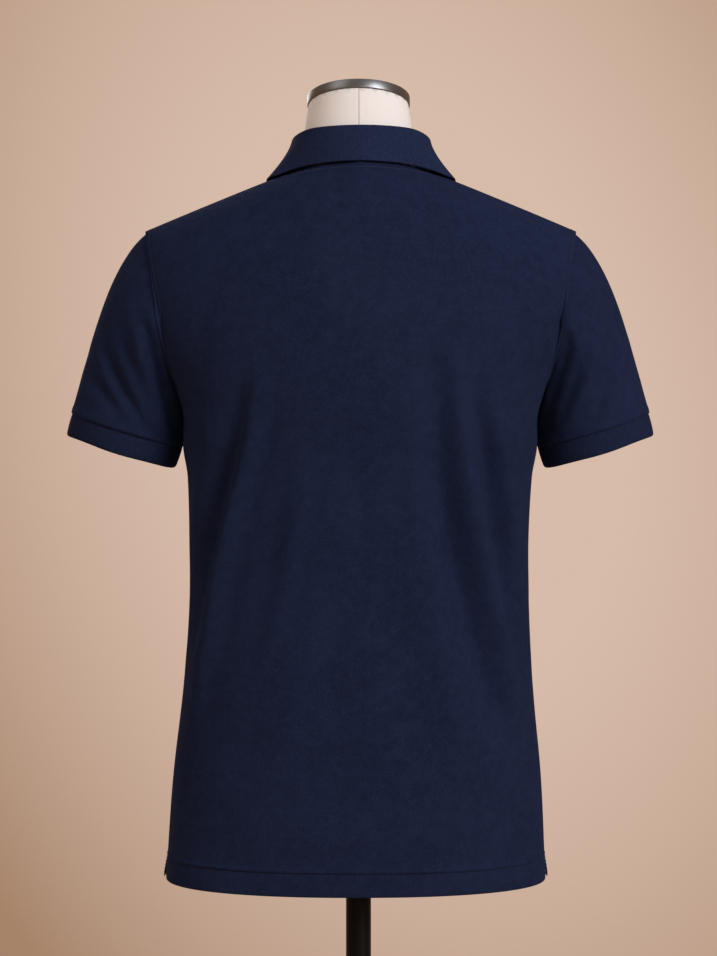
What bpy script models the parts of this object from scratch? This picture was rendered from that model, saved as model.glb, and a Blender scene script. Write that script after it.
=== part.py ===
"""A short-sleeved polo shirt worn by a limbless dress form on a pole stand.

Run with: blender --background --python part.py
The shirt's front faces -Y, its back +Y and its wearer's left +X. The origin is on the floor,
under the pole. Lengths are in metres; heights inside the tables are measured from CHEST.
"""
import math
from collections import namedtuple

import bmesh
import bpy
import numpy as np

# ---------------------------------------------------------------- driving dimensions
CHEST = 1.140            # height above the floor that the tables measure from
CLOTH = 0.0012           # pique wall
RIB = 0.0018             # rib-knit wall of collar and cuffs
SEAM = 0.0003            # gap between sewn pieces
SEAM_SHARE = 0.00036     # what each panel's edge gives up at a side or shoulder seam
SHIRT_HEM = -0.398
VENT_TOP = -0.366
UNDERARM = 0.072         # lowest point of the armhole
SHOULDER_BASE = 0.150    # where the upright walls turn into the shoulders
TIP_X = 0.214            # shoulder tip
TIP_HEIGHT = 0.2455
SHOULDER_SLOPE = 0.408
SEAM_Y = -0.012          # the shoulder seam lies a little to the front
NECK_X = 0.069           # half-width of the neckline
NECK_BACK = 0.070        # neckline behind and before the shoulder seam
NECK_FRONT = 0.066
ARM_UNDER_X = 0.176      # half-width across the armholes, at the underarm and SHOULDER_BASE
ARM_BACK_X = 0.1945
ARM_FRONT_X = 0.1925
HALF_COLUMNS = 12        # panel columns from side to centre
SHOULDER_COLUMNS = 6     # of these, the ones that end on the shoulder seam
SHOULDER_ROWS = 8
SLEEVE_ROWS = 8
SLEEVE_SET = 0.0021       # the sleeve's wall starts this far out of the armhole's edge
CUFF_CENTRE = (0.2325, -0.017, 0.0495)     # middle of the sleeve's end, left arm
CUFF_TOP = 0.0565        # radius at the sleeve seam
CUFF_END = 0.0562
SLEEVE_LAP = 0.0016      # the sleeve's end stands proud of the cuff
CUFF_LENGTH = 0.0224
CUFF_LEAN = 17.1         # degrees outwards
CUFF_FORWARD = 4.0       # degrees forwards
SLIT_BOTTOM = 0.098      # where the placket slit ends
PLACKET_HALF = 0.0155    # half-width of the slit in the front
BUTTON_RADIUS = 0.0057
BUTTON_THICK = 0.0026
COLLAR_FOLD = 0.343      # height of the collar's fold round the back
STAND_INSET = 0.0024     # collar stand inside the neckline
STAND_LIFT = 0.0019      # foot of the collar stand off the panel
LEAF_REST = 0.0034       # collar leaf off the panel that it lies on
LEAF_X = 0.0925          # the leaf's half-width in plan
LEAF_EDGE = 0.3062       # height of the leaf's edge at the middle of the back
LEAF_BOW = 185.0         # and how fast it drops to the sides
LEAF_SIDE = 0.083        # how fast the edge runs to the back from the shoulder seam
LEAF_POINT = (0.047, -0.095)
FOLD_DROP = 0.0035       # the fold is this much lower at the shoulders than at the back
NAPE_CROWN = 0.70        # below 1 the cloth rises fuller behind the neck
LEAF_ROWS = 5
FORM_BOTTOM = -0.340
NECK_TILT = 10.5         # degrees that the neck's flat top falls to the front
NECK_TOP = 0.0503        # radius of the neck's flat top
BAND_HEIGHT = 0.0095
POLE_RADIUS = 0.0125
BASE_RADIUS = 0.185
BASE_THICK = 0.008

Section = namedtuple("Section", "height half_width back front squareness")
BODY = [
    Section(-0.398, 0.1912, 0.105, 0.113, 2.30),
    Section(-0.300, 0.1845, 0.106, 0.116, 2.30),
    Section(-0.200, 0.1735, 0.104, 0.118, 2.30),
    Section(-0.100, 0.1676, 0.102, 0.121, 2.30),
    Section(0.000, 0.1702, 0.107, 0.127, 2.30),
    Section(0.072, 0.1760, 0.114, 0.130, 2.45),
    Section(0.150, 0.2160, 0.116, 0.125, 2.60),
]
FORM = [
    Section(-0.340, 0.1560, 0.086, 0.094, 2.30),
    Section(-0.300, 0.1570, 0.090, 0.098, 2.30),
    Section(-0.200, 0.1520, 0.089, 0.103, 2.30),
    Section(-0.100, 0.1500, 0.089, 0.108, 2.30),
    Section(0.000, 0.1570, 0.096, 0.116, 2.30),
    Section(0.072, 0.1640, 0.104, 0.120, 2.40),
    Section(0.150, 0.1780, 0.106, 0.112, 2.45),
    Section(0.195, 0.1860, 0.102, 0.092, 2.30),
    Section(0.225, 0.1870, 0.092, 0.072, 2.10),
    Section(0.240, 0.1800, 0.085, 0.057, 1.90),
    Section(0.252, 0.1620, 0.080, 0.049, 1.80),
    Section(0.264, 0.1310, 0.074, 0.042, 1.80),
    Section(0.276, 0.1000, 0.067, 0.036, 1.85),
    Section(0.288, 0.0720, 0.059, 0.038, 1.95),
    Section(0.300, 0.0595, 0.0525, 0.046, 2.00),
    Section(0.316, 0.0560, 0.0505, 0.053, 2.00),
    Section(0.345, 0.0545, 0.0490, 0.056, 2.00),
]

# Folds as seen from behind or before: they run from (x, height) to (x, height).
Fold = namedtuple("Fold", "x1 height1 x2 height2 width depth")
BACK_FOLDS = [
    Fold(0.112, 0.095, 0.150, -0.105, 0.020, -0.0040),
    Fold(0.128, -0.050, 0.168, -0.235, 0.017, 0.0030),
    Fold(0.058, 0.015, 0.098, -0.170, 0.022, -0.0030),
    Fold(-0.078, 0.098, -0.126, -0.215, 0.021, -0.0038),
    Fold(-0.098, 0.108, -0.160, -0.235, 0.017, 0.0030),
    Fold(-0.052, -0.050, -0.118, -0.270, 0.020, 0.0024),
]
FRONT_FOLDS = [
    Fold(0.120, 0.060, 0.150, -0.150, 0.022, -0.0036),
    Fold(-0.105, 0.080, -0.142, -0.190, 0.021, -0.0038),
    Fold(0.060, -0.040, 0.100, -0.260, 0.024, 0.0026),
    Fold(-0.050, -0.080, -0.085, -0.290, 0.022, -0.0026),
]
SLEEVE_FOLDS = [
    Fold(0.216, 0.160, 0.187, 0.060, 0.013, -0.0030),
    Fold(0.244, 0.132, 0.223, 0.080, 0.011, -0.0022),
]

Button = namedtuple("Button", "name drop")
BUTTONS = [Button("button_top", 0.013), Button("button_middle", 0.069), Button("button_bottom", 0.125)]

Finish = namedtuple("Finish", "name colour roughness metallic")
PIQUE = Finish("navy_pique", (0.0122, 0.0160, 0.0375), 0.85, 0.0)
RIB_KNIT = Finish("navy_rib", (0.0118, 0.0155, 0.0360), 0.88, 0.0)
HORN = Finish("navy_button", (0.0100, 0.0120, 0.0220), 0.30, 0.0)
CANVAS = Finish("cream_canvas", (0.78, 0.72, 0.68), 0.90, 0.0)
STEEL = Finish("brushed_steel", (0.42, 0.39, 0.36), 0.35, 1.0)
BLACK = Finish("black_satin", (0.012, 0.011, 0.010), 0.40, 0.0)


# ---------------------------------------------------------------- small helpers
def mix(low, high, share):
    return low + (high - low) * share


def ease(low, high, value):
    share = min(max((value - low) / (high - low), 0.0), 1.0)
    return share * share * (3.0 - 2.0 * share)


def read(table, height):
    """The section at a height, smoothly between the table's rows."""
    heights = [row.height for row in table]
    height = min(max(height, heights[0]), heights[-1])
    index = max(i for i in range(len(table) - 1) if heights[i] <= height + 1e-9)
    low, high = table[index], table[index + 1]
    before = table[max(index - 1, 0)]
    after = table[min(index + 2, len(table) - 1)]
    span = high.height - low.height
    share = (height - low.height) / span
    values = [height]
    for name in Section._fields[1:]:
        start, end = getattr(low, name), getattr(high, name)
        rise_in = (end - getattr(before, name)) / (high.height - before.height) * span
        rise_out = (getattr(after, name) - start) / (after.height - low.height) * span
        square, cube = share * share, share ** 3
        values.append((2 * cube - 3 * square + 1) * start + (cube - 2 * square + share) * rise_in
                      + (3 * square - 2 * cube) * end + (cube - square) * rise_out)
    return Section(*values)


def spaced(points, count):
    """Points at even distances along a line of points, ends included."""
    points = np.asarray(points, dtype=float)
    lengths = np.concatenate([[0.0], np.cumsum(np.linalg.norm(np.diff(points, axis=0), axis=1))])
    wanted = np.linspace(0.0, lengths[-1], count + 1)
    return np.stack([np.interp(wanted, lengths, points[:, axis]) for axis in range(3)], axis=1)


def grid_normals(grid, closed=False):
    """Unit normals of a grid of points; a closed grid's last column meets its first."""
    down = np.gradient(grid, axis=0)
    if closed:
        across = (np.roll(grid, -1, axis=1) - np.roll(grid, 1, axis=1)) / 2
    else:
        across = np.gradient(grid, axis=1)
    normals = np.cross(across, down)
    return normals / np.maximum(np.linalg.norm(normals, axis=2, keepdims=True), 1e-12)


# ---------------------------------------------------------------- the shirt's body
def ridge(x):
    """Height of the shoulder line above CHEST at a distance from the middle."""
    return TIP_HEIGHT + SHOULDER_SLOPE * (TIP_X - math.hypot(x, 0.012))


def wall_point(height, angle):
    """A point of the upright part: angle 0 is the side, 90 the back, -90 the front."""
    section = read(BODY, height)
    power = 2.0 / section.squareness
    half = section.half_width
    if angle < 0:
        half += 0.003 * ease(VENT_TOP, SHIRT_HEM, height)
    depth = section.back if angle >= 0 else -section.front
    turn = math.radians(abs(angle))
    return (half * math.cos(turn) ** power, depth * math.sin(turn) ** power, CHEST + height)


def shoulder_point(x, turn):
    """A point over the shoulder: turn 0 is the back wall, 90 the ridge, 180 the front wall."""
    base = BODY[-1]
    share = (1.0 - min(abs(x) / base.half_width, 1.0) ** base.squareness) ** (1 / base.squareness)
    cosine = math.cos(math.radians(turn))
    sine = math.sin(math.radians(turn))
    if cosine >= 0:
        rise = sine ** mix(NAPE_CROWN, 1.0, ease(0.030, 0.130, abs(x)))
        return (x, base.back * share * cosine, CHEST + mix(SHOULDER_BASE, ridge(x), rise))
    outer = ease(0.060, 0.150, abs(x))
    slope, crown = mix(1.25, 2.0, outer), mix(1.12, 2.0, outer)
    rise = (sine * sine) ** (1.0 / crown)
    return (x, -base.front * share * (-cosine) ** (2.0 / slope),
            CHEST + mix(SHOULDER_BASE, ridge(x), rise))


def turn_at(x, y):
    """The turn at which the shoulder surface passes over (x, y)."""
    low, high = 0.0, 180.0
    for _ in range(40):
        middle = (low + high) / 2
        if shoulder_point(x, middle)[1] > y:
            low = middle
        else:
            high = middle
    return (low + high) / 2


def side_angle(height, back):
    """Where a panel starts at its side: on the side seam, or on the armhole above it."""
    if height <= UNDERARM:
        return 0.0
    section = read(BODY, height)
    base_x = ARM_BACK_X if back else ARM_FRONT_X
    reach = mix(ARM_UNDER_X, base_x, ((height - UNDERARM) / (SHOULDER_BASE - UNDERARM)) ** 0.8)
    share = min(reach / section.half_width, 1.0)
    return math.degrees(math.acos(share ** (section.squareness / 2)))


def armhole(share, back):
    """The armhole's edge above SHOULDER_BASE, from the wall (0) to the shoulder seam (1)."""
    base_x = ARM_BACK_X if back else ARM_FRONT_X
    x = mix(base_x, TIP_X, math.sin(math.radians(90 * share)))
    seam_turn = turn_at(TIP_X, SEAM_Y)
    turn = mix(0.0, seam_turn, share) if back else mix(180.0, seam_turn, share)
    return shoulder_point(x, turn)


def wall_row(height, back):
    """Half a row of the upright part, from the side to the centre."""
    edge = side_angle(height, back)
    section = read(BODY, height)
    slit = math.degrees(math.acos((PLACKET_HALF / section.half_width) ** (section.squareness / 2)))
    sign = 1 if back else -1
    fine = [wall_point(height, sign * max(mix(edge, slit, step / 60), 0.001)) for step in range(61)]
    row = list(spaced(fine, HALF_COLUMNS - 1)) + [np.array(wall_point(height, sign * 90))]
    return np.array(row)


def top_line(back):
    """Half of a panel's upper edge: (x, y) along the shoulder seam and then the neckline."""
    drop = NECK_BACK if back else -NECK_FRONT
    seam = [(mix(TIP_X, NECK_X, step / SHOULDER_COLUMNS), SEAM_Y) for step in range(SHOULDER_COLUMNS)]
    slit_angle = math.acos(PLACKET_HALF / NECK_X)
    count = HALF_COLUMNS - 1 - SHOULDER_COLUMNS
    angles = [mix(0.0, slit_angle, step / count) for step in range(count + 1)] + [math.pi / 2]
    return seam + [(NECK_X * math.cos(a), SEAM_Y + drop * math.sin(a)) for a in angles]


def shoulder_row(share, back):
    """Half a row over the shoulder; share 1 is the seam and the neckline."""
    base = wall_row(SHOULDER_BASE, back)
    start = 0.0 if back else 180.0
    row = [armhole(share, back)]
    for column, (x, y) in enumerate(top_line(back)):
        if column:
            here = mix(base[column][0], x, math.sin(math.radians(90 * share)))
            row.append(shoulder_point(here, mix(start, turn_at(x, y), share)))
    return np.array(row)


def wall_heights():
    hem_rows = [SHIRT_HEM, VENT_TOP]
    body_rows = list(np.linspace(VENT_TOP, UNDERARM, 9)[1:])
    return hem_rows + body_rows + [0.080, 0.098, 0.124, SHOULDER_BASE]


def folded(grid, folds, side, closed=False):
    """Move a grid in or out along its folds, where it faces the side (+1 back, -1 front)."""
    normals = grid_normals(grid, closed)
    outward = normals * np.sign(np.sum(normals[..., 1])) * side if not closed else normals
    moved = grid.copy()
    for fold in folds:
        start = np.array([fold.x1, CHEST + fold.height1])
        along = np.array([fold.x2, CHEST + fold.height2]) - start
        flat = grid[..., [0, 2]] - start
        share = np.clip(flat @ along / (along @ along), 0.0, 1.0)
        away = np.linalg.norm(flat - share[..., None] * along, axis=-1)
        fade = np.sin(np.pi * np.clip(0.12 + 0.76 * share, 0, 1)) ** 0.7
        facing = np.clip(outward[..., 1] * side * 2.0, 0.0, 1.0)
        amount = fold.depth * np.exp(-(away / fold.width) ** 2) * fade * facing
        moved += outward * amount[..., None]
    return moved


def panel_grid(back):
    """The middle surface of the front or the back, hem first, from the left to the right side."""
    rows = [wall_row(height, back) for height in wall_heights()]
    rows += [shoulder_row(step / SHOULDER_ROWS, back) for step in range(1, SHOULDER_ROWS + 1)]
    half = np.array(rows)
    mirrored = half[:, -2::-1].copy()
    mirrored[..., 0] *= -1
    grid = np.concatenate([half, mirrored], axis=1)
    sign = 1 if back else -1
    gap = SEAM_SHARE
    upright = len(wall_heights())
    grid[:upright, 0, 1] += sign * gap
    grid[:upright, -1, 1] += sign * gap
    seam = [c for c in range(grid.shape[1]) if abs(abs(grid[-1, c, 0]) - NECK_X) < 1e-6
            or abs(grid[-1, c, 0]) > NECK_X]
    grid[-1, seam, 1] += sign * gap
    return folded(grid, BACK_FOLDS if back else FRONT_FOLDS, sign)


# ---------------------------------------------------------------- solids from grids
def build_object(name, mesh_data, finish):
    mesh = bpy.data.meshes.new(name)
    mesh_data.to_mesh(mesh)
    mesh_data.free()
    obj = bpy.data.objects.new(name, mesh)
    bpy.context.scene.collection.objects.link(obj)
    mesh.materials.append(finish_material(finish))
    mesh.shade_smooth()
    mesh.set_sharp_from_angle(angle=math.radians(50))
    return obj


def finish_material(finish):
    found = bpy.data.materials.get(finish.name)
    if found:
        return found
    made = bpy.data.materials.new(finish.name)
    made.use_nodes = True
    shader = made.node_tree.nodes["Principled BSDF"]
    shader.inputs["Base Color"].default_value = (*finish.colour, 1.0)
    shader.inputs["Roughness"].default_value = finish.roughness
    shader.inputs["Metallic"].default_value = finish.metallic
    made.diffuse_color = (*finish.colour, 1.0)
    return made


def cloth_wall(name, grid, thickness, finish, closed=False, cut=None):
    """A closed solid: a grid of points made a wall. cut marks the cells that are left out."""
    rows, columns = grid.shape[:2]
    normals = grid_normals(grid, closed)
    data = bmesh.new()
    faces = [[[data.verts.new(grid[r, c] + side * thickness / 2 * normals[r, c])
               for c in range(columns)] for r in range(rows)] for side in (1, -1)]
    outer, inner = faces
    wide = columns if closed else columns - 1

    def solid(row, column):
        if closed:
            column %= wide
        inside = 0 <= row < rows - 1 and 0 <= column < wide
        return inside and not (cut is not None and cut[row, column])

    for r in range(rows - 1):
        for c in range(wide):
            if not solid(r, c):
                continue
            n = (c + 1) % columns
            data.faces.new((outer[r][c], outer[r][n], outer[r + 1][n], outer[r + 1][c]))
            data.faces.new((inner[r][c], inner[r + 1][c], inner[r + 1][n], inner[r][n]))
            if not solid(r - 1, c):
                data.faces.new((outer[r][c], inner[r][c], inner[r][n], outer[r][n]))
            if not solid(r + 1, c):
                data.faces.new((outer[r + 1][n], inner[r + 1][n], inner[r + 1][c], outer[r + 1][c]))
            if not solid(r, c - 1):
                data.faces.new((outer[r + 1][c], inner[r + 1][c], inner[r][c], outer[r][c]))
            if not solid(r, c + 1):
                data.faces.new((outer[r][n], inner[r][n], inner[r + 1][n], outer[r + 1][n]))
    loose = [vert for vert in data.verts if not vert.link_faces]
    bmesh.ops.delete(data, geom=loose, context="VERTS")
    bmesh.ops.recalc_face_normals(data, faces=data.faces)
    return build_object(name, data, finish)


def stacked_rings(name, rings, finish):
    """A closed solid through rings of points, with flat ends."""
    data = bmesh.new()
    loops = [[data.verts.new(point) for point in ring] for ring in rings]
    count = len(loops[0])
    for low, high in zip(loops, loops[1:]):
        for i in range(count):
            data.faces.new((low[i], low[(i + 1) % count], high[(i + 1) % count], high[i]))
    data.faces.new(loops[0][::-1])
    data.faces.new(loops[-1])
    bmesh.ops.recalc_face_normals(data, faces=data.faces)
    return build_object(name, data, finish)


def turned(name, profile, finish, sides=48):
    """A turned solid round the Z axis; profile rows are (radius, height)."""
    angles = [2 * math.pi * i / sides for i in range(sides)]
    rings = [[(r * math.cos(a), r * math.sin(a), z) for a in angles] for r, z in profile]
    return stacked_rings(name, rings, finish)


# ---------------------------------------------------------------- sleeves and cuffs
def cuff_frame():
    """Unit vectors of the sleeve's end: down the arm, outwards and backwards across it."""
    lean, forward = math.radians(CUFF_LEAN), math.radians(CUFF_FORWARD)
    outwards = np.array([math.cos(lean), 0.0, math.sin(lean)])
    down = np.array([math.sin(lean), -math.sin(forward), -math.cos(lean)])
    down /= np.linalg.norm(down)
    backwards = np.cross(outwards, down)
    backwards *= np.sign(backwards[1])
    return down, outwards, backwards / np.linalg.norm(backwards)


def cuff_ring(distance, radius, turns):
    """A ring round the arm, a distance below the sleeve's end, from the inside over the back."""
    down, outwards, backwards = cuff_frame()
    centre = np.array(CUFF_CENTRE) + np.array([0, 0, CHEST]) + down * distance
    return np.array([centre + radius * (-math.cos(a) * outwards + math.sin(a) * backwards)
                     for a in turns])


def armhole_ring(back, front):
    """The left armhole's edge from the underarm up the back, over the tip and down the front."""
    heights = [z - CHEST for z in back[:, 0, 2]]
    start = next(r for r, height in enumerate(heights) if height > UNDERARM - 1e-6)
    rear, fore = back[start:, 0].copy(), front[start:, 0].copy()
    rear[0] = fore[0] = mix(rear[0], fore[0], 0.5)
    rear[-1] = mix(rear[-1], fore[-1], 0.5)
    return np.concatenate([rear, fore[-2:0:-1]])


def ring_turns(ring):
    """Each point's share of the way round a ring, as an angle."""
    steps = np.linalg.norm(np.roll(ring, -1, axis=0) - ring, axis=1)
    return 2 * math.pi * np.concatenate([[0.0], np.cumsum(steps)[:-1]]) / steps.sum()


def sleeve_grid(start):
    """The left sleeve's middle surface from its armhole's ring down to the cuff."""
    down, _, _ = cuff_frame()
    turns = ring_turns(start)
    end = cuff_ring(0.0, CUFF_TOP + SLEEVE_LAP, turns)
    columns = []
    for first, last, turn in zip(start, end, turns):
        top = (1 - math.cos(turn)) / 2
        leave = mix(np.array([0.55, 0.0, -0.84]), np.array([0.76, 0.0, -0.65]), top)
        leave /= np.linalg.norm(leave)
        reach = np.linalg.norm(last - first)
        columns.append(swept(first + leave * SLEEVE_SET, last, leave * reach * mix(0.7, 0.80, top),
                             down * reach * mix(0.9, 1.05, top), SLEEVE_ROWS))
    grid = np.array(columns).transpose(1, 0, 2)
    grid = folded(grid, SLEEVE_FOLDS, 1, closed=True)
    return folded(grid, SLEEVE_FOLDS, -1, closed=True)


def swept(first, last, leave, arrive, count):
    """Points of a smooth curve that leaves one point and arrives at another in given ways."""
    points = []
    for s in np.linspace(0.0, 1.0, count + 1):
        points.append((2 * s**3 - 3 * s**2 + 1) * first + (s**3 - 2 * s**2 + s) * leave
                      + (3 * s**2 - 2 * s**3) * last + (s**3 - s**2) * arrive)
    return points


def cuff_grid(turns):
    gap = SEAM + 0.0002
    return np.array([cuff_ring(mix(gap, CUFF_LENGTH, s), mix(CUFF_TOP, CUFF_END, s), turns)
                     for s in (0.0, 0.5, 1.0)])


def other_side(grid):
    """The mirror image of a ring grid, with its order turned so that it still faces out."""
    flipped = grid[:, ::-1].copy()
    flipped[..., 0] *= -1
    return flipped


# ---------------------------------------------------------------- collar
def surface_height(x, y, lift=0.0):
    """Height of the shirt's surface over a place in plan, or of a layer lifted square off it."""
    here = shoulder_point(x, turn_at(x, y))[2]
    if not lift:
        return here
    step = 0.002
    slope_x = (shoulder_point(x + step, turn_at(x + step, y))[2] - here) / step
    slope_y = (shoulder_point(x, turn_at(x, y + step))[2] - here) / step
    return here + lift * math.sqrt(1.0 + slope_x ** 2 + slope_y ** 2)


def depth_at(x, height):
    """How far back the shirt's back passes through a height, over a place across it."""
    low, high = SEAM_Y, 0.12
    for _ in range(40):
        middle = (low + high) / 2
        if surface_height(x, middle) > CHEST + height:
            low = middle
        else:
            high = middle
    return (low + high) / 2


def neck_curve(angle, inset):
    """The neckline in plan: angle 0 is the left side, 90 the back, -90 the front."""
    turn = math.radians(angle)
    drop = NECK_BACK if angle >= 0 else NECK_FRONT
    x = (NECK_X - inset) * math.cos(turn)
    return x, SEAM_Y + (drop - inset) * math.sin(turn)


def collar_grid():
    """The collar's middle surface: stand, fold and leaf, from one front end round to the other."""
    ends = 5.0
    rows = []
    for step in range(41):
        angle = mix(-90 + ends, 270 - ends, step / 40)
        folded_angle = angle if angle <= 90 else 180 - angle
        side = 1 if angle <= 90 else -1
        front = ease(5.0, -85.0, folded_angle)
        x, y = neck_curve(folded_angle, STAND_INSET)
        foot = np.array([x, y, surface_height(x, y, STAND_LIFT)])
        fold = COLLAR_FOLD - FOLD_DROP * ease(-50.0, -5.0, -abs(folded_angle))
        rise = mix(fold + CHEST - foot[2], 0.026, ease(0.0, 1.0, front))
        lean = mix(-0.004, -0.001, front)
        centre = np.array([0.0, -0.008, 0.0])
        outward = np.array([x, y, 0.0]) - centre
        outward[2] = 0.0
        outward /= np.linalg.norm(outward)
        up = np.array([0.0, 0.0, 1.0])
        if front > 0:
            up = np.array([0.0, 0.22 * front, 1.0])
            up /= np.linalg.norm(up)
        fold_in = foot + up * (rise - 0.0018) + outward * lean
        fold_top = fold_in + outward * 0.0019 + up * 0.0018
        fold_out = fold_in + outward * 0.0038
        # where the leaf's edge lies, in plan
        turn = math.radians(folded_angle)
        if folded_angle >= 0:
            edge_x = LEAF_X * math.cos(turn)
            behind = depth_at(edge_x, LEAF_EDGE - LEAF_BOW * edge_x ** 4 - LEAF_REST)
            edge_y = mix(SEAM_Y + LEAF_SIDE * math.sin(turn), behind, ease(6.0, 40.0, folded_angle))
        else:
            reach = ease(0.0, -85.0, folded_angle)
            edge_x = mix(LEAF_X * math.cos(turn * 0.62), LEAF_POINT[0], reach ** 1.5)
            edge_y = mix(SEAM_Y, LEAF_POINT[1], math.sin(math.pi / 2 * reach))
        edge = np.array([edge_x, edge_y, surface_height(edge_x, edge_y, LEAF_REST)])
        flat = edge - fold_out
        reach = np.linalg.norm(flat)
        leave = (outward * 0.22 - up * 0.97) * reach * 0.9
        arrive_dir = flat / reach
        arrive_dir[2] *= 0.75
        arrive = arrive_dir * reach * 0.9
        row = [foot, mix(foot, fold_in, 0.34), mix(foot, fold_in, 0.68), fold_in, fold_top]
        for point in swept(fold_out, edge, leave, arrive, LEAF_ROWS):
            point[2] = max(point[2], surface_height(point[0], point[1], LEAF_REST))
            row.append(point)
        row = np.array(row)
        row[:, 0] *= side
        rows.append(row)
    return np.array(rows).transpose(1, 0, 2)


# ---------------------------------------------------------------- placket and buttons
def slit_row(front):
    """The first row of the front at which the placket slit is open."""
    middle = HALF_COLUMNS
    return int(np.argmax(front[:, middle, 2] > CHEST + SLIT_BOTTOM - 0.002))


def placket_lines(front, foot):
    """The front's own points beside and along its centre, from a foot below the slit's end up.

    The columns are x = -PLACKET_HALF, 0, PLACKET_HALF and the next one out on the left.
    """
    first = slit_row(front)
    rows = front[first:, HALF_COLUMNS - 2:HALF_COLUMNS + 2][:, ::-1]
    top = mix(rows[-2], rows[-1], 0.93)
    lines = list(rows[:-1]) + [top]
    if foot:
        below = front[first - 1, HALF_COLUMNS - 2:HALF_COLUMNS + 2][::-1]
        lines.insert(0, mix(lines[0], below, foot))
    else:
        lines[0] = mix(lines[0], lines[1], 0.05)
    return np.array(lines)


def strip_grid(lines, right, left, lift):
    """A strip over three columns: right and left are shares of the way to the next column."""
    grid = np.stack([mix(lines[:, 0], lines[:, 1], right), lines[:, 1],
                     mix(lines[:, 2], lines[:, 3], left) if left > 0
                     else mix(lines[:, 2], lines[:, 1], -left)], axis=1)
    if left > 0:
        grid = np.insert(grid, 2, lines[:, 2], axis=1)
    return grid + grid_normals(grid) * lift


def placket(front):
    cloth_wall("placket_under", strip_grid(placket_lines(front, 0.0), 0.05, -0.25, 0.0), CLOTH, PIQUE)
    lift = CLOTH + SEAM + 0.0001
    over = strip_grid(placket_lines(front, 0.32), 0.08, 0.12, lift)
    cloth_wall("placket_over", over, CLOTH, PIQUE)
    for name, drop in BUTTONS:
        button(name, over[:, 1], drop)


def button(name, line, drop):
    """A four-hole button on the placket, a drop below the strip's upper end."""
    high = len(line) - 1
    while np.linalg.norm(line[high] - line[high - 1]) < drop:
        drop -= np.linalg.norm(line[high] - line[high - 1])
        high -= 1
    up = (line[high] - line[high - 1]) / np.linalg.norm(line[high] - line[high - 1])
    centre = line[high] - up * drop
    side = np.array([1.0, 0.0, 0.0])
    outward = np.cross(up, side)
    outward *= -np.sign(outward[1])
    base = centre + outward * (CLOTH / 2 + SEAM)
    rings = []
    for radius, rise in ((0.9, 0.0), (1.0, 0.3), (1.0, 0.7), (0.9, 1.0), (0.68, 0.82)):
        middle = base + outward * BUTTON_THICK * rise
        rings.append([middle + BUTTON_RADIUS * radius * (math.cos(a) * side + math.sin(a) * up)
                      for a in np.linspace(0, 2 * math.pi, 24, endpoint=False)])
    stacked_rings(name, rings, HORN)


# ---------------------------------------------------------------- dress form and stand
def form_ring(height, sides=48):
    section = read(FORM, height)
    power = 2.0 / section.squareness
    ring = []
    for k in range(sides):
        a = 2 * math.pi * (k + 0.5) / sides
        cosine, sine = math.cos(a), math.sin(a)
        depth = section.back if sine > 0 else section.front
        ring.append((math.copysign(section.half_width * abs(cosine) ** power, cosine),
                     math.copysign(depth * abs(sine) ** power, sine), CHEST + height))
    return np.array(ring)


def neck_ring(rise, radius, sides=48):
    """A ring of the neck's tilted top, a rise above the middle of the band's lower edge."""
    tilt = math.radians(NECK_TILT)
    back = np.array([0.0, math.cos(tilt), math.sin(tilt)])
    up = np.array([0.0, -math.sin(tilt), math.cos(tilt)])
    centre = np.array([0.0, -0.0065, CHEST + 0.3725]) + up * rise
    angles = [2 * math.pi * (k + 0.5) / sides for k in range(sides)]
    return np.array([centre + radius * (math.cos(a) * np.array([1.0, 0, 0]) + math.sin(a) * back)
                     for a in angles])


def dress_form():
    heights = [-0.340, -0.300, -0.250, -0.200, -0.150, -0.100, -0.050, 0.0, 0.036, 0.072, 0.110,
               0.150, 0.175, 0.195, 0.212, 0.225, 0.234, 0.242, 0.250, 0.258, 0.266, 0.274, 0.282,
               0.290, 0.298, 0.306, 0.316, 0.330, 0.345]
    rings = [form_ring(height) for height in heights] + [neck_ring(0.0, NECK_TOP)]
    stacked_rings("form_torso", rings, CANVAS)
    band = [neck_ring(0.0003, NECK_TOP + 0.0006), neck_ring(0.0012, NECK_TOP + 0.0012),
            neck_ring(BAND_HEIGHT - 0.0012, NECK_TOP + 0.0006), neck_ring(BAND_HEIGHT, NECK_TOP - 0.0006)]
    inside = [neck_ring(BAND_HEIGHT, NECK_TOP - 0.0030), neck_ring(0.0003, NECK_TOP - 0.0030)]
    closed_band("neck_band", band + inside, STEEL)
    cap = [neck_ring(0.0003, NECK_TOP - 0.0034), neck_ring(BAND_HEIGHT - 0.0018, NECK_TOP - 0.0034)]
    stacked_rings("neck_cap", cap, STEEL)


def closed_band(name, rings, finish):
    """A ring-shaped solid whose last ring meets its first."""
    data = bmesh.new()
    loops = [[data.verts.new(point) for point in ring] for ring in rings]
    count = len(loops[0])
    for low, high in zip(loops, loops[1:] + loops[:1]):
        for i in range(count):
            data.faces.new((low[i], low[(i + 1) % count], high[(i + 1) % count], high[i]))
    bmesh.ops.recalc_face_normals(data, faces=data.faces)
    return build_object(name, data, finish)


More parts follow.
